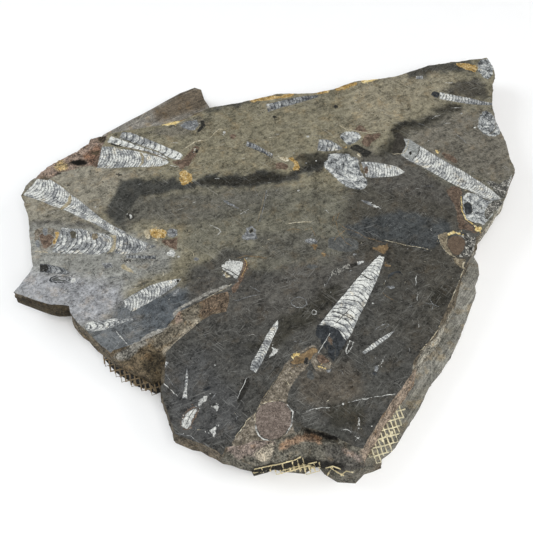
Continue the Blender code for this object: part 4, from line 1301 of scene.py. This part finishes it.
def limestone_colour(finish):
    """The dark limestone: its broad tone, mottled, grained and strewn with tiny shell bits."""
    tone = finish.named("tone", "Color")
    broad = finish.noise(38, 4, 0.6) - 0.5
    blotch = finish.noise(12, 6, 0.72, 0.6) - 0.5
    cloud = finish.noise(5, 5, 0.8, 0.3, shift=17.0) - 0.5
    grain = finish.noise(2.2, 4, 0.85) - 0.5
    flow_place = finish.drawn_out(finish.swayed(30, 16), 0.5, 6)
    flow = finish.noise(4.0, 4, 0.75, place=flow_place) - 0.5
    clast = finish.cells(5.5, place=finish.swayed(5.0, 7.0), output="Color") - 0.5
    level = 1 + 0.9 * broad + 1.8 * blotch + 2.4 * cloud + 1.7 * flow + 2.8 * grain + 0.5 * clast
    colour = finish.shaded(tone, level.maths("MAXIMUM", 0.25))
    warm = finish.noise(15, 5, 0.65, shift=40.0).ramp(0.5, 0.7)
    colour = finish.mixed(warm * 0.35, colour, finish.mixed(1.0, colour, (1.28, 1.0, 0.70), "MULTIPLY"))
    pale = finish.shaded(tone, 1.6)
    pale = finish.mixed(0.3, pale, (0.36, 0.36, 0.34))
    bits = 1 - finish.cells(2.6).ramp(0.12, 0.28)
    chosen = finish.noise(6, 3, 0.6, shift=15.0).ramp(0.47, 0.6)
    colour = finish.mixed(bits * chosen * 0.7, colour, pale)
    for turn, shift in ((0.95, 5.0), (0.35, 11.0), (-0.7, 19.0)):
        along = finish.drawn_out(finish.place, turn, 26)
        scratch = finish.noise(0.9, 2, 0.5, place=along, shift=shift).ramp(0.61, 0.69)
        kept = finish.noise(26, 3, 0.6, shift=shift).ramp(0.47, 0.6)
        colour = finish.mixed(scratch * kept * 0.8, colour, pale)
    for size, width, shift in ((15, 0.022, 33.0), (8.5, 0.03, 57.0)):
        swayed = finish.swayed(6.0, 7.0, shift=shift)
        hairs = 1 - finish.cells(size, "DISTANCE_TO_EDGE", place=swayed).ramp(0.0, width)
        kept = finish.noise(size, 3, 0.6, shift=shift).ramp(0.5, 0.6)
        colour = finish.mixed(hairs * kept * 0.5, colour, pale)
    dark_bits = 1 - finish.cells(4.2).ramp(0.12, 0.28)
    chosen = finish.noise(8, 3, 0.6, shift=28.0).ramp(0.48, 0.58)
    return finish.mixed(dark_bits * chosen * 0.7, colour, finish.shaded(tone, 0.22))


def polished(finish, colour, gloss=POLISH):
    """The polish that all stones of the face share, with fine scratches and dull spots."""
    smear = finish.noise(22, 3, 0.6, shift=9.0)
    fine = finish.noise(0.7, 2, 0.6)
    roughness = (gloss + 0.16 * (smear - 0.5) + 0.2 * (fine - 0.5)).clipped()
    scratches = finish.noise(0.5, 2, 0.5, place=finish.drawn_out(finish.place, 0.6, 25))
    height = scratches * 0.4 + finish.noise(9, 2, 0.5)
    normal = finish.relief(height, 0.15, 0.0004)
    return finish.finished(colour, roughness, normal, 0.3)


def laid_in(finish, colour, depth=None, gaps=0.66):
    """An inlay's colour, thinned out to the limestone along its edge and in a few gaps."""
    depth = depth or finish.named("depth", "Fac")
    ragged = (finish.noise(2.6, 5, 0.75, shift=70.0) - 0.5) * 5.0
    cover = (depth + ragged - 0.35).ramp(0.0, 0.7)
    holes = finish.noise(3.4, 5, 0.75, shift=90.0).ramp(gaps, gaps - 0.06)
    return finish.mixed(cover * holes, limestone_colour(finish), colour)


def polished_limestone():
    finish = Finish("polished_limestone")
    return polished(finish, limestone_colour(finish))


def shell_finish():
    """White and grey calcite between thin dark septa that bow towards the tip."""
    finish = Finish("orthoceras_shell")
    septum, side, _ = finish.split(finish.named("shell_a"))
    half, bow, white = finish.split(finish.named("shell_b"))
    wobble = (finish.noise(10.0, 2, 0.5) - 0.5) * 0.8 + (finish.noise(2.4, 2, 0.6) - 0.5) * 0.3
    count = septum + bow * side * side + wobble
    within = count.maths("FRACT")
    near = within.maths("PINGPONG", 0.5)
    thick = finish.noise(4.0, 3, 0.6, shift=6.0).ramp(0.38, 0.62)
    line = 1 - near.ramp(0.0, 0.12 + 0.12 * thick)
    across = finish.add("ShaderNodeCombineXYZ", {}, {0: count * 2.4, 1: side * half * 0.2})
    streaks = finish.noise(1.0, 4, 0.75, place=across) - 0.5
    patchy = finish.noise(9.0, 5, 0.7, shift=12.0).ramp(0.36, 0.62) - 0.5
    cloud = finish.noise(2.2, 5, 0.8, shift=21.0) - 0.5
    light = white * 0.9 + 0.06 + 0.6 * patchy + 1.1 * streaks + 1.7 * cloud + 0.25 * (within - 0.5)
    colour = finish.mixed(light.ramp(0.0, 0.5), (0.050, 0.053, 0.058), (0.255, 0.265, 0.27))
    colour = finish.mixed(light.ramp(0.5, 1.05), colour, (0.74, 0.75, 0.71))
    stained = finish.noise(11, 4, 0.65, shift=63.0).ramp(0.56, 0.68)
    colour = finish.mixed(stained * 0.45, colour, finish.mixed(1.0, colour, (1.1, 0.92, 0.66), "MULTIPLY"))
    cracks = 1 - finish.cells(3.2, "DISTANCE_TO_EDGE", place=finish.swayed(3.0, 2.5)).ramp(0.0, 0.08)
    colour = finish.mixed(cracks * 0.6, colour, (0.05, 0.052, 0.055))
    strength = (0.45 + 0.7 * finish.noise(5.0, 3, 0.6, shift=44.0).ramp(0.36, 0.6)).clipped()
    colour = finish.mixed(line * strength, colour, (0.024, 0.025, 0.028))
    depth = (1 - side.maths("ABSOLUTE")) * half
    wall = 1 - depth.ramp(0.0, 0.55)
    colour = finish.mixed(wall * 0.5, colour, (0.03, 0.03, 0.03))
    return polished(finish, laid_in(finish, colour, depth * 1.5 + 1.0, 0.74), 0.25)


# Stones in the face: dark, middle and light colour, and the size of their mottling
STONES = {
    "calcite": ((0.14, 0.145, 0.15), (0.50, 0.505, 0.48), (0.78, 0.78, 0.74), 1.8),
    "bluegrey": ((0.055, 0.058, 0.062), (0.155, 0.162, 0.168), (0.40, 0.41, 0.41), 1.6),
    "speckled": ((0.04, 0.04, 0.045), (0.15, 0.155, 0.16), (0.50, 0.51, 0.50), 1.4),
    "jet": ((0.009, 0.010, 0.012), (0.025, 0.028, 0.031), (0.062, 0.068, 0.074), 4.0),
    "black": ((0.008, 0.008, 0.008), (0.018, 0.017, 0.014), (0.05, 0.048, 0.042), 2.5),
    "silver": ((0.12, 0.125, 0.12), (0.27, 0.28, 0.27), (0.46, 0.47, 0.45), 2.2),
    "pepper": ((0.010, 0.010, 0.010), (0.075, 0.073, 0.066), (0.62, 0.60, 0.54), 1.5),
    "straw": ((0.30, 0.19, 0.06), (0.66, 0.50, 0.20), (0.84, 0.78, 0.54), 1.4),
    "ochre": ((0.09, 0.055, 0.025), (0.40, 0.255, 0.075), (0.68, 0.58, 0.38), 2.0),
    "amber": ((0.075, 0.055, 0.032), (0.165, 0.110, 0.058), (0.30, 0.215, 0.115), 2.2),
    "cream": ((0.16, 0.125, 0.075), (0.46, 0.405, 0.285), (0.74, 0.71, 0.58), 1.7),
    "rust": ((0.040, 0.028, 0.020), (0.114, 0.078, 0.056), (0.27, 0.20, 0.15), 2.0),
    "brown": ((0.030, 0.021, 0.016), (0.100, 0.070, 0.050), (0.22, 0.165, 0.125), 1.5),
    "disc": ((0.075, 0.052, 0.036), (0.115, 0.082, 0.058), (0.155, 0.115, 0.082), 1.4),
    "smoke": ((0.014, 0.013, 0.010), (0.034, 0.030, 0.024), (0.070, 0.064, 0.052), 3.0),
    "oat": ((0.14, 0.115, 0.070), (0.33, 0.285, 0.19), (0.56, 0.51, 0.39), 1.8),
    "dusk": ((0.040, 0.042, 0.042), (0.078, 0.081, 0.078), (0.17, 0.17, 0.16), 1.6),
    "bank": ((0.09, 0.085, 0.075), (0.25, 0.24, 0.215), (0.46, 0.45, 0.41), 1.8),
    "tan": ((0.06, 0.05, 0.034), (0.175, 0.145, 0.10), (0.36, 0.31, 0.22), 2.2),
    "marl": ((0.050, 0.042, 0.032), (0.150, 0.128, 0.098), (0.36, 0.32, 0.26), 1.9),
    "nodule": ((0.050, 0.038, 0.032), (0.145, 0.115, 0.097), (0.30, 0.25, 0.215), 1.3),
    "olive_window": ((0.03, 0.028, 0.02), (0.07, 0.064, 0.045), (0.13, 0.12, 0.09), 2.0),
}


def stone_finish(name):
    """A stone of the face, clouded between three colours and speckled with fine grain."""
    dark, middle, light, size = STONES[name]
    finish = Finish(name + "_stone")
    cloud = finish.noise(size * 2.4, 6, 0.82, 0.5) - 0.5
    grain = finish.noise(size * 0.9, 3, 0.8, shift=5.0) - 0.5
    level = 0.5 + 2.0 * cloud + 1.2 * grain
    colour = finish.mixed(level.ramp(0.2, 0.5), dark, middle)
    colour = finish.mixed(level.ramp(0.5, 0.82), colour, light)
    return polished(finish, laid_in(finish, colour), POLISH + 0.02)


def faint_finish():
    """Shell bits so thin that the limestone shows through them."""
    finish = Finish("faint_shell_bits")
    tone = finish.named("tone", "Color")
    colour = finish.mixed(0.2, finish.shaded(tone, 2.0), (0.42, 0.42, 0.40))
    return polished(finish, laid_in(finish, colour))


def crystal_finish(name, shade):
    """Coarse calcite crystals: white clouds, black gaps and blue-grey between them."""
    finish = Finish(name + "_stone")
    swirl = finish.noise(7.0, 6, 0.8, 0.6, shift=3.0) - 0.5
    grain = finish.noise(1.8, 3, 0.8, shift=14.0) - 0.5
    cells = 0.45 - finish.cells(5.5, "SMOOTH_F1", place=finish.swayed(4.0, 4.0))
    level = 0.5 + 2.4 * swirl + 1.2 * grain + 0.3 * cells + shade
    colour = finish.mixed(level.ramp(0.18, 0.36), (0.022, 0.024, 0.026), (0.135, 0.142, 0.146))
    colour = finish.mixed(level.ramp(0.36, 0.56), colour, (0.34, 0.355, 0.355))
    colour = finish.mixed(level.ramp(0.56, 0.82), colour, (0.72, 0.73, 0.69))
    dark_grains = 1 - finish.cells(3.0).ramp(0.10, 0.24)
    chosen = finish.noise(6, 3, 0.6, shift=35.0).ramp(0.46, 0.58)
    colour = finish.mixed(dark_grains * chosen * 0.7, colour, (0.03, 0.03, 0.032))
    return polished(finish, laid_in(finish, colour), 0.24)


def broken_limestone(name):
    """Broken, unpolished limestone: matt, lumpy, with pits painted near black as the shade in them, and
    pale crumbs.
    """
    finish = Finish(name)
    tone = finish.named("rock", "Color")
    broad = finish.noise(10, 5, 0.7, 0.4)
    grain = finish.noise(1.8, 5, 0.8, shift=8.0)
    level = 0.5 + 1.6 * (broad - 0.5) + 2.6 * (grain - 0.5)
    colour = finish.mixed(level.ramp(0.2, 0.5), finish.shaded(tone, 0.25), tone)
    colour = finish.mixed(level.ramp(0.5, 0.82), colour, finish.shaded(tone, 2.1))
    rusty = finish.noise(9, 4, 0.6, shift=51.0).ramp(0.54, 0.68)
    rust = finish.mixed(1.0, colour, (1.2, 0.95, 0.68), "MULTIPLY")
    colour = finish.mixed(rusty * 0.5, colour, rust)
    crumbs = 1 - finish.cells(3.2).ramp(0.14, 0.3)
    chosen = finish.noise(7, 3, 0.6, shift=23.0).ramp(0.5, 0.6)
    colour = finish.mixed(crumbs * chosen * 0.6, colour, finish.shaded(tone, 2.6))
    # Small dips in the relief, painted near black as the shade in them
    pit_shade = 1 - finish.cells(4.4).ramp(0.12, 0.32)
    chosen = finish.noise(9, 3, 0.6, shift=37.0).ramp(0.46, 0.56)
    colour = finish.mixed(pit_shade * chosen * 0.8, colour, (0.012, 0.010, 0.007))
    height = grain * 0.6 + finish.noise(3.4, 4, 0.7, shift=2.0) - 0.4 * pit_shade * chosen
    normal = finish.relief(height, 1.0, 0.0014)
    return finish.finished(colour, (0.8 + 0.25 * (grain - 0.5)).clipped(), normal, 0.25)


def sawn_limestone(name, turn, groove):
    """A sawn face: matt stone with the fine parallel marks of the blade."""
    finish = Finish(name)
    tone = finish.named("rock", "Color")
    along = finish.drawn_out(finish.place, turn, 33)
    marks = finish.noise(groove, 3, 0.7, place=along) - 0.5
    fine = finish.noise(groove * 0.3, 2, 0.6, place=along, shift=4.0) - 0.5
    broad = finish.noise(20, 5, 0.7) - 0.5
    grain = finish.noise(1.5, 4, 0.8, shift=12.0) - 0.5
    mottle = finish.noise(4.5, 5, 0.8, 0.4, shift=31.0) - 0.5
    level = 0.5 + 1.0 * broad + 1.3 * marks + 0.7 * fine + 1.7 * grain + 1.5 * mottle
    colour = finish.mixed(level.ramp(0.1, 0.5), finish.shaded(tone, 0.34), tone)
    colour = finish.mixed(level.ramp(0.5, 0.9), colour, finish.shaded(tone, 1.9))
    across = finish.drawn_out(finish.place, turn + 0.5, 33)
    scored = finish.noise(groove, 2, 0.5, place=across, shift=27.0).ramp(0.62, 0.68)
    colour = finish.mixed(scored * 0.45, colour, finish.shaded(tone, 1.8))
    stain = finish.noise(13, 4, 0.6, shift=61.0).ramp(0.5, 0.64)
    rusty = finish.mixed(1.0, colour, (1.15, 0.95, 0.68), "MULTIPLY")
    colour = finish.mixed(stain * 0.6, colour, rusty)
    normal = finish.relief(marks + 0.5 * fine + 0.3 * grain, 0.6, 0.0008)
    return finish.finished(colour, (0.66 + 0.3 * grain).clipped(), normal, 0.3)


def net_finish():
    """Cream glass-fibre strands, stiff with yellowed resin."""
    finish = Finish("cream_resin")
    cloud = finish.noise(6, 4, 0.65)
    fine = finish.noise(0.6, 3, 0.7, shift=3.0)
    tone = finish.named("rock", "Color")
    level = cloud + 0.6 * (fine - 0.5)
    colour = finish.mixed(level.ramp(0.3, 0.5), finish.shaded(tone, 0.45), tone)
    colour = finish.mixed(level.ramp(0.5, 0.68), colour, finish.shaded(tone, 1.3))
    normal = finish.relief(fine + cloud, 0.5, 0.0004)
    return finish.finished(colour, (0.42 + 0.3 * (cloud - 0.5)).clipped(), normal)


# The three pieces


def fossil_plate():
    mesh = Mesh("fossil_plate_dressed", "fossil_plate")
    bm = mesh.bm
    flat = [
        face for face in bm.faces
        if all(vert.co.z > PLATE_TOP - 2 * HAIR for vert in face.verts) and face.normal.z > LEVEL
    ]
    bmesh.ops.delete(bm, geom=flat, context="FACES")
    foot_height = PLATE_FOOT + HAIR
    refined(bm, SIDE_STEP, lambda face: (
        min(vert.co.z for vert in face.verts) > foot_height or face.normal.z > -LEVEL
    ))
    rim = {vert for edge in bm.edges if edge.is_boundary for vert in edge.verts}
    foot = {vert for vert in bm.verts if vert.co.z < foot_height}
    free = [vert for vert in bm.verts if vert not in rim and vert not in foot]
    roughened(bm, free, 9.0, 0.9, 1.3)
    kept_in_box(free, PLATE_TOP - 0.05)
    for vert in rim:
        shift = noise.noise_vector(vert.co / 3.5)
        vert.co.xy += shift.xy * 0.45
    kept_in_box(rim, PLATE_TOP)
    names = ["limestone", "shell", "faint", *STONES, "crystals", "dusk_crystals", "broken"]
    numbers = {name: i for i, name in enumerate(names)}
    for face in bm.faces:
        face.material_index = numbers["broken"]
    polished_face(mesh, numbers)
    coloured(mesh, ROCKS)
    finishes = [
        polished_limestone(),
        shell_finish(),
        faint_finish(),
        *[stone_finish(name) for name in STONES],
        crystal_finish("crystals", 0.03),
        crystal_finish("dusk_crystals", -0.05),
        broken_limestone("broken_limestone"),
    ]
    return mesh.made(finishes, "fossil_plate", "polished_limestone")


# The sawn wedge at the back left lies left of the one and behind the other
WEDGE_RIGHT = -60
WEDGE_FRONT = spot(130, 130).y - 30


def backing_slab():
    mesh = Mesh("backing_slab_dressed", "backing_slab")
    bm = mesh.bm
    refined(bm, SLAB_STEP, lambda face: face.normal.z > -LEVEL)
    low = {vert for vert in bm.verts if vert.co.z < HAIR}
    top = {vert for vert in bm.verts if vert.co.z > SLAB_TOP - HAIR}
    free = [vert for vert in bm.verts if vert not in low and vert not in top]
    roughened(bm, free, 8.0, 0.8, 1.1)
    kept_in_box(free, SLAB_TOP)
    for face in bm.faces:
        middle = face.calc_center_median()
        sawn = face.normal.z > LEVEL and middle.z > SLAB_TOP - 10 * HAIR
        back_left = middle.x < WEDGE_RIGHT and middle.y > WEDGE_FRONT
        face.material_index = (1 if back_left else 0) if sawn else 2
    coloured(mesh, SLAB_ROCKS)
    finishes = [
        sawn_limestone("sawn_ledge", 0.95, 1.6),
        sawn_limestone("sawn_wedge", 0.56, 2.2),
        broken_limestone("slab_side"),
    ]
    return mesh.made(finishes, "backing_slab", "sawn_limestone")


# The net: its turn in degrees, the pitch of its two sets of strands, a strand's width and
# thickness, the step between its rings, and the areas where it shows
NET_TURN = 15.0
NET_PITCH = (4.5, 7.2)
STRAND = (1.5, 0.5)
STRAND_STEP = 1.5
NET_AREAS = {
    "right": [(128, -203), (119, -229), (110, -244), (99, -254), (90, -246), (84, -232),
              (100, -212), (116, -192)],
    "front": [(-20, -265), (37, -264), (52, -255), (50, -240), (20, -238), (-16, -240)],
    "notch": [(-110, -181), (-121, -186), (-142, -178), (-166, -162), (-178, -146), (-160, -140),
              (-140, -155), (-112, -160)],
}


def strand(bm, spots):
    """A flattened strand along spots, closed at both ends."""
    sides = 6
    rings = []
    for i, place in enumerate(spots):
        along = (spots[min(i + 1, len(spots) - 1)] - spots[max(i - 1, 0)]).normalized()
        side = along.cross(Vector((0, 0, 1))).normalized()
        upward = side.cross(along)
        swell = 1 + 0.35 * noise.noise(place / 2)
        side, upward = side * STRAND[0] / 2 * swell, upward * STRAND[1] / 2
        ring = []
        for corner in range(sides):
            angle = 2 * math.pi * corner / sides
            ring.append(bm.verts.new(place + side * math.cos(angle) + upward * math.sin(angle)))
        rings.append(ring)
    for first, second in zip(rings, rings[1:]):
        for corner in range(sides):
            after = (corner + 1) % sides
            bm.faces.new((first[corner], first[after], second[after], second[corner]))
    bm.faces.new(rings[0][::-1])
    bm.faces.new(rings[-1])


def net_strands(bm, outline):
    """Two crossed sets of strands over an outline, woven over and under each other."""
    rise = (NET_LOW + NET_HIGH) / 2
    turn = Matrix.Rotation(math.radians(NET_TURN), 3, "Z")
    unturned = [turn.inverted() @ place.to_3d() for place in outline]
    for across in (0, 1):
        pitch, other = NET_PITCH[across], NET_PITCH[1 - across]
        first = math.floor(min(place[across] for place in unturned) / pitch)
        last = math.ceil(max(place[across] for place in unturned) / pitch)
        start = math.floor(min(place[1 - across] for place in unturned) / STRAND_STEP)
        end = math.ceil(max(place[1 - across] for place in unturned) / STRAND_STEP)
        for number in range(first, last + 1):
            line = []
            for step in range(start - 1, end + 2):
                level = [0.0, 0.0, 0.0]
                level[across] = number * pitch
                level[1 - across] = step * STRAND_STEP
                place = turn @ Vector(level)
                weave = math.cos(math.pi * (step * STRAND_STEP / other + number)) * (0.5 - across)
                sway = noise.noise_vector(place / 9) * 0.5
                line.append(Vector((place.x + sway.x, place.y + sway.y, rise + 0.35 * weave)))
            depth = from_outline(np.array([place.xy for place in line]), outline)
            run = []
            for place, inside in zip(line, depth):
                if inside > -1.5 + 1.5 * noise.noise(place / 5):
                    run.append(place)
                    continue
                if len(run) > 1:
                    strand(bm, run)
                run = []


def resin_drops(bm, rng, outline, count):
    """Flat drops of set resin that cling to the strands."""
    low = Vector((min(p.x for p in outline), min(p.y for p in outline)))
    high = Vector((max(p.x for p in outline), max(p.y for p in outline)))
    spots = np.array([
        (rng.uniform(low.x, high.x), rng.uniform(low.y, high.y)) for _ in range(count)
    ])
    for place, inside in zip(spots, from_outline(spots, outline)):
        if inside < 0.5:
            continue
        reach = rng.uniform(0.8, 2.2)
        shape = Matrix.Translation((*place, (NET_LOW + NET_HIGH) / 2))
        shape = shape @ Matrix.Rotation(rng.uniform(0, 3.1), 4, "Z")
        shape = shape @ Matrix.Diagonal((reach, reach * rng.uniform(0.4, 0.8), 0.5, 1))
        made = bmesh.ops.create_icosphere(bm, subdivisions=2, radius=1, matrix=shape)
        for vert in made["verts"]:
            sway = noise.noise_vector(vert.co / 1.3)
            vert.co.xy += sway.xy * 0.5


# Drops of resin over each area of the net
RESIN_DROPS = {"right": 26, "front": 60, "notch": 70}

# Tones of the net: clean and cream at the right, dark brown in the notch
NET_CREAM = (0.74, 0.68, 0.47)
NET_YELLOW = (0.66, 0.53, 0.27)
NET_NOTCH_BROWN = (0.16, 0.115, 0.060)
NET_TONES = [
    ("front", NET_YELLOW, 6, 0.6, "250,450 350,450 350,482 250,482"),
    ("notch", NET_NOTCH_BROWN, 6, 1.0, "96,345 172,345 172,400 96,400"),
]

# Strands that hang out at the front edge, as pixels of the photograph
FRONT_STRANDS = [
    "253.5,469 266.9,466.3 281.6,463.4 295,459.6 301.7,456.3",
    "268.9,474.6 280.3,471 292.3,467.7 305.7,464.3 317.8,461.6",
    "261.5,467.7 263.5,473",
    "271.6,465.7 268.9,475.7",
    "282.3,463.7 284.3,474.6",
    "292.3,461 293.7,470.4",
    "297.4,459.6 299.3,469",
    "302.4,457.6 306.4,470.4",
    "309,465 313.7,470.4",
    "313.7,463 316.7,469.7",
    "319,461.6 320.7,468.3",
    "327,475.7 333.8,465",
    "330,467 337,472 344.5,475.7",
    "340.5,475.7 346,471 353.9,472.4",
    "325,468 333,466 341,469",
]


def front_strands(bm, stones):
    """Strands that lie on the broken front of the stones, where the photograph shows them."""
    surfaces = []
    for stone in stones:
        solid = bmesh.new()
        solid.from_mesh(stone.data)
        surfaces.append(BVHTree.FromBMesh(solid))
        solid.free()
    eye = CAMERA_PLACE * MM
    for line in FRONT_STRANDS:
        pixels = pixels_in(line)
        run = []
        for start, end in zip(pixels, pixels[1:]):
            count = max(2, round(math.dist(start, end)))
            for i in range(count + 1):
                ray = sight_line(*Vector(start).lerp(Vector(end), i / count)).normalized()
                reaches = [tree.ray_cast(eye, ray)[3] for tree in surfaces]
                reaches = [reach for reach in reaches if reach is not None]
                if reaches:
                    run.append((eye + ray * min(reaches)) / MM - ray * 0.7)
        spots = [
            sum(run[max(0, i - 1):i + 2], Vector()) / len(run[max(0, i - 1):i + 2])
            for i in range(0, len(run), 2)
        ]
        spots = [
            place for i, place in enumerate(spots) if not i or (place - spots[i - 1]).length > 0.2
        ]
        if len(spots) > 2:
            strand(bm, spots)


def reinforcing_net(stones):
    mesh = Mesh("reinforcing_net_dressed", "reinforcing_net")
    bm = mesh.bm
    rng = random.Random(NET_SEED)
    for name, outline in NET_AREAS.items():
        places = [Vector(place) for place in outline]
        net_strands(bm, places)
        resin_drops(bm, rng, places, RESIN_DROPS[name])
    front_strands(bm, stones)
    pixels = seen_at([vert.co.copy() for vert in bm.verts])
    for vert, tone in zip(bm.verts, layered(pixels, NET_CREAM, NET_TONES)):
        vert[mesh.rock] = (*tone, 1)
    for face in bm.faces:
        face.smooth = True
    return mesh.made([net_finish()], "reinforcing_net", "net_resin")


# Camera, floor and lights


def floor_and_light():
    bpy.ops.mesh.primitive_plane_add(size=8)
    floor = bpy.context.object
    floor.name = "floor"
    finish = Finish("pale_floor")
    speck = finish.noise(40, 3, 0.5)
    floor.data.materials.append(
        finish.finished(finish.mixed(speck, (0.95, 0.95, 0.95), (0.98, 0.98, 0.98)), 0.9)
    )
    world = bpy.data.worlds.new("studio")
    bpy.context.scene.world = world
    world.use_nodes = True
    world.node_tree.nodes["Background"].inputs[0].default_value = (0.96, 0.98, 1.0, 1)
    world.node_tree.nodes["Background"].inputs[1].default_value = 0.34
    lamps = [
        ("window", (-2.2, 0.9, 1.7), 1.5, 31, (0.90, 0.95, 1.0)),
        ("overhead", (0.2, -1.3, 2.3), 1.8, 45, (1.0, 0.99, 0.97)),
        ("right_fill", (2.2, -0.2, 1.6), 1.6, 19, (1.0, 0.98, 0.95)),
    ]
    for name, place, size, power, colour in lamps:
        lamp = bpy.data.lights.new(name, "AREA")
        lamp.size = size
        lamp.energy = power
        lamp.color = colour
        holder = bpy.data.objects.new(name, lamp)
        bpy.context.scene.collection.objects.link(holder)
        holder.location = place
        aim = Vector((0, 0, 0.04)) - holder.location
        holder.rotation_euler = aim.to_track_quat("-Z", "Y").to_euler()


def camera():
    lens = bpy.data.cameras.new("camera")
    lens.lens = LENS
    lens.sensor_width = SENSOR
    holder = bpy.data.objects.new("camera", lens)
    bpy.context.scene.collection.objects.link(holder)
    holder.location = CAMERA_PLACE * MM
    holder.rotation_euler = (CAMERA_AIM - CAMERA_PLACE).to_track_quat("-Z", "Y").to_euler()
    bpy.context.scene.camera = holder


bpy.context.scene.view_settings.view_transform = "Standard"
camera()
reinforcing_net([fossil_plate(), backing_slab()])
floor_and_light()
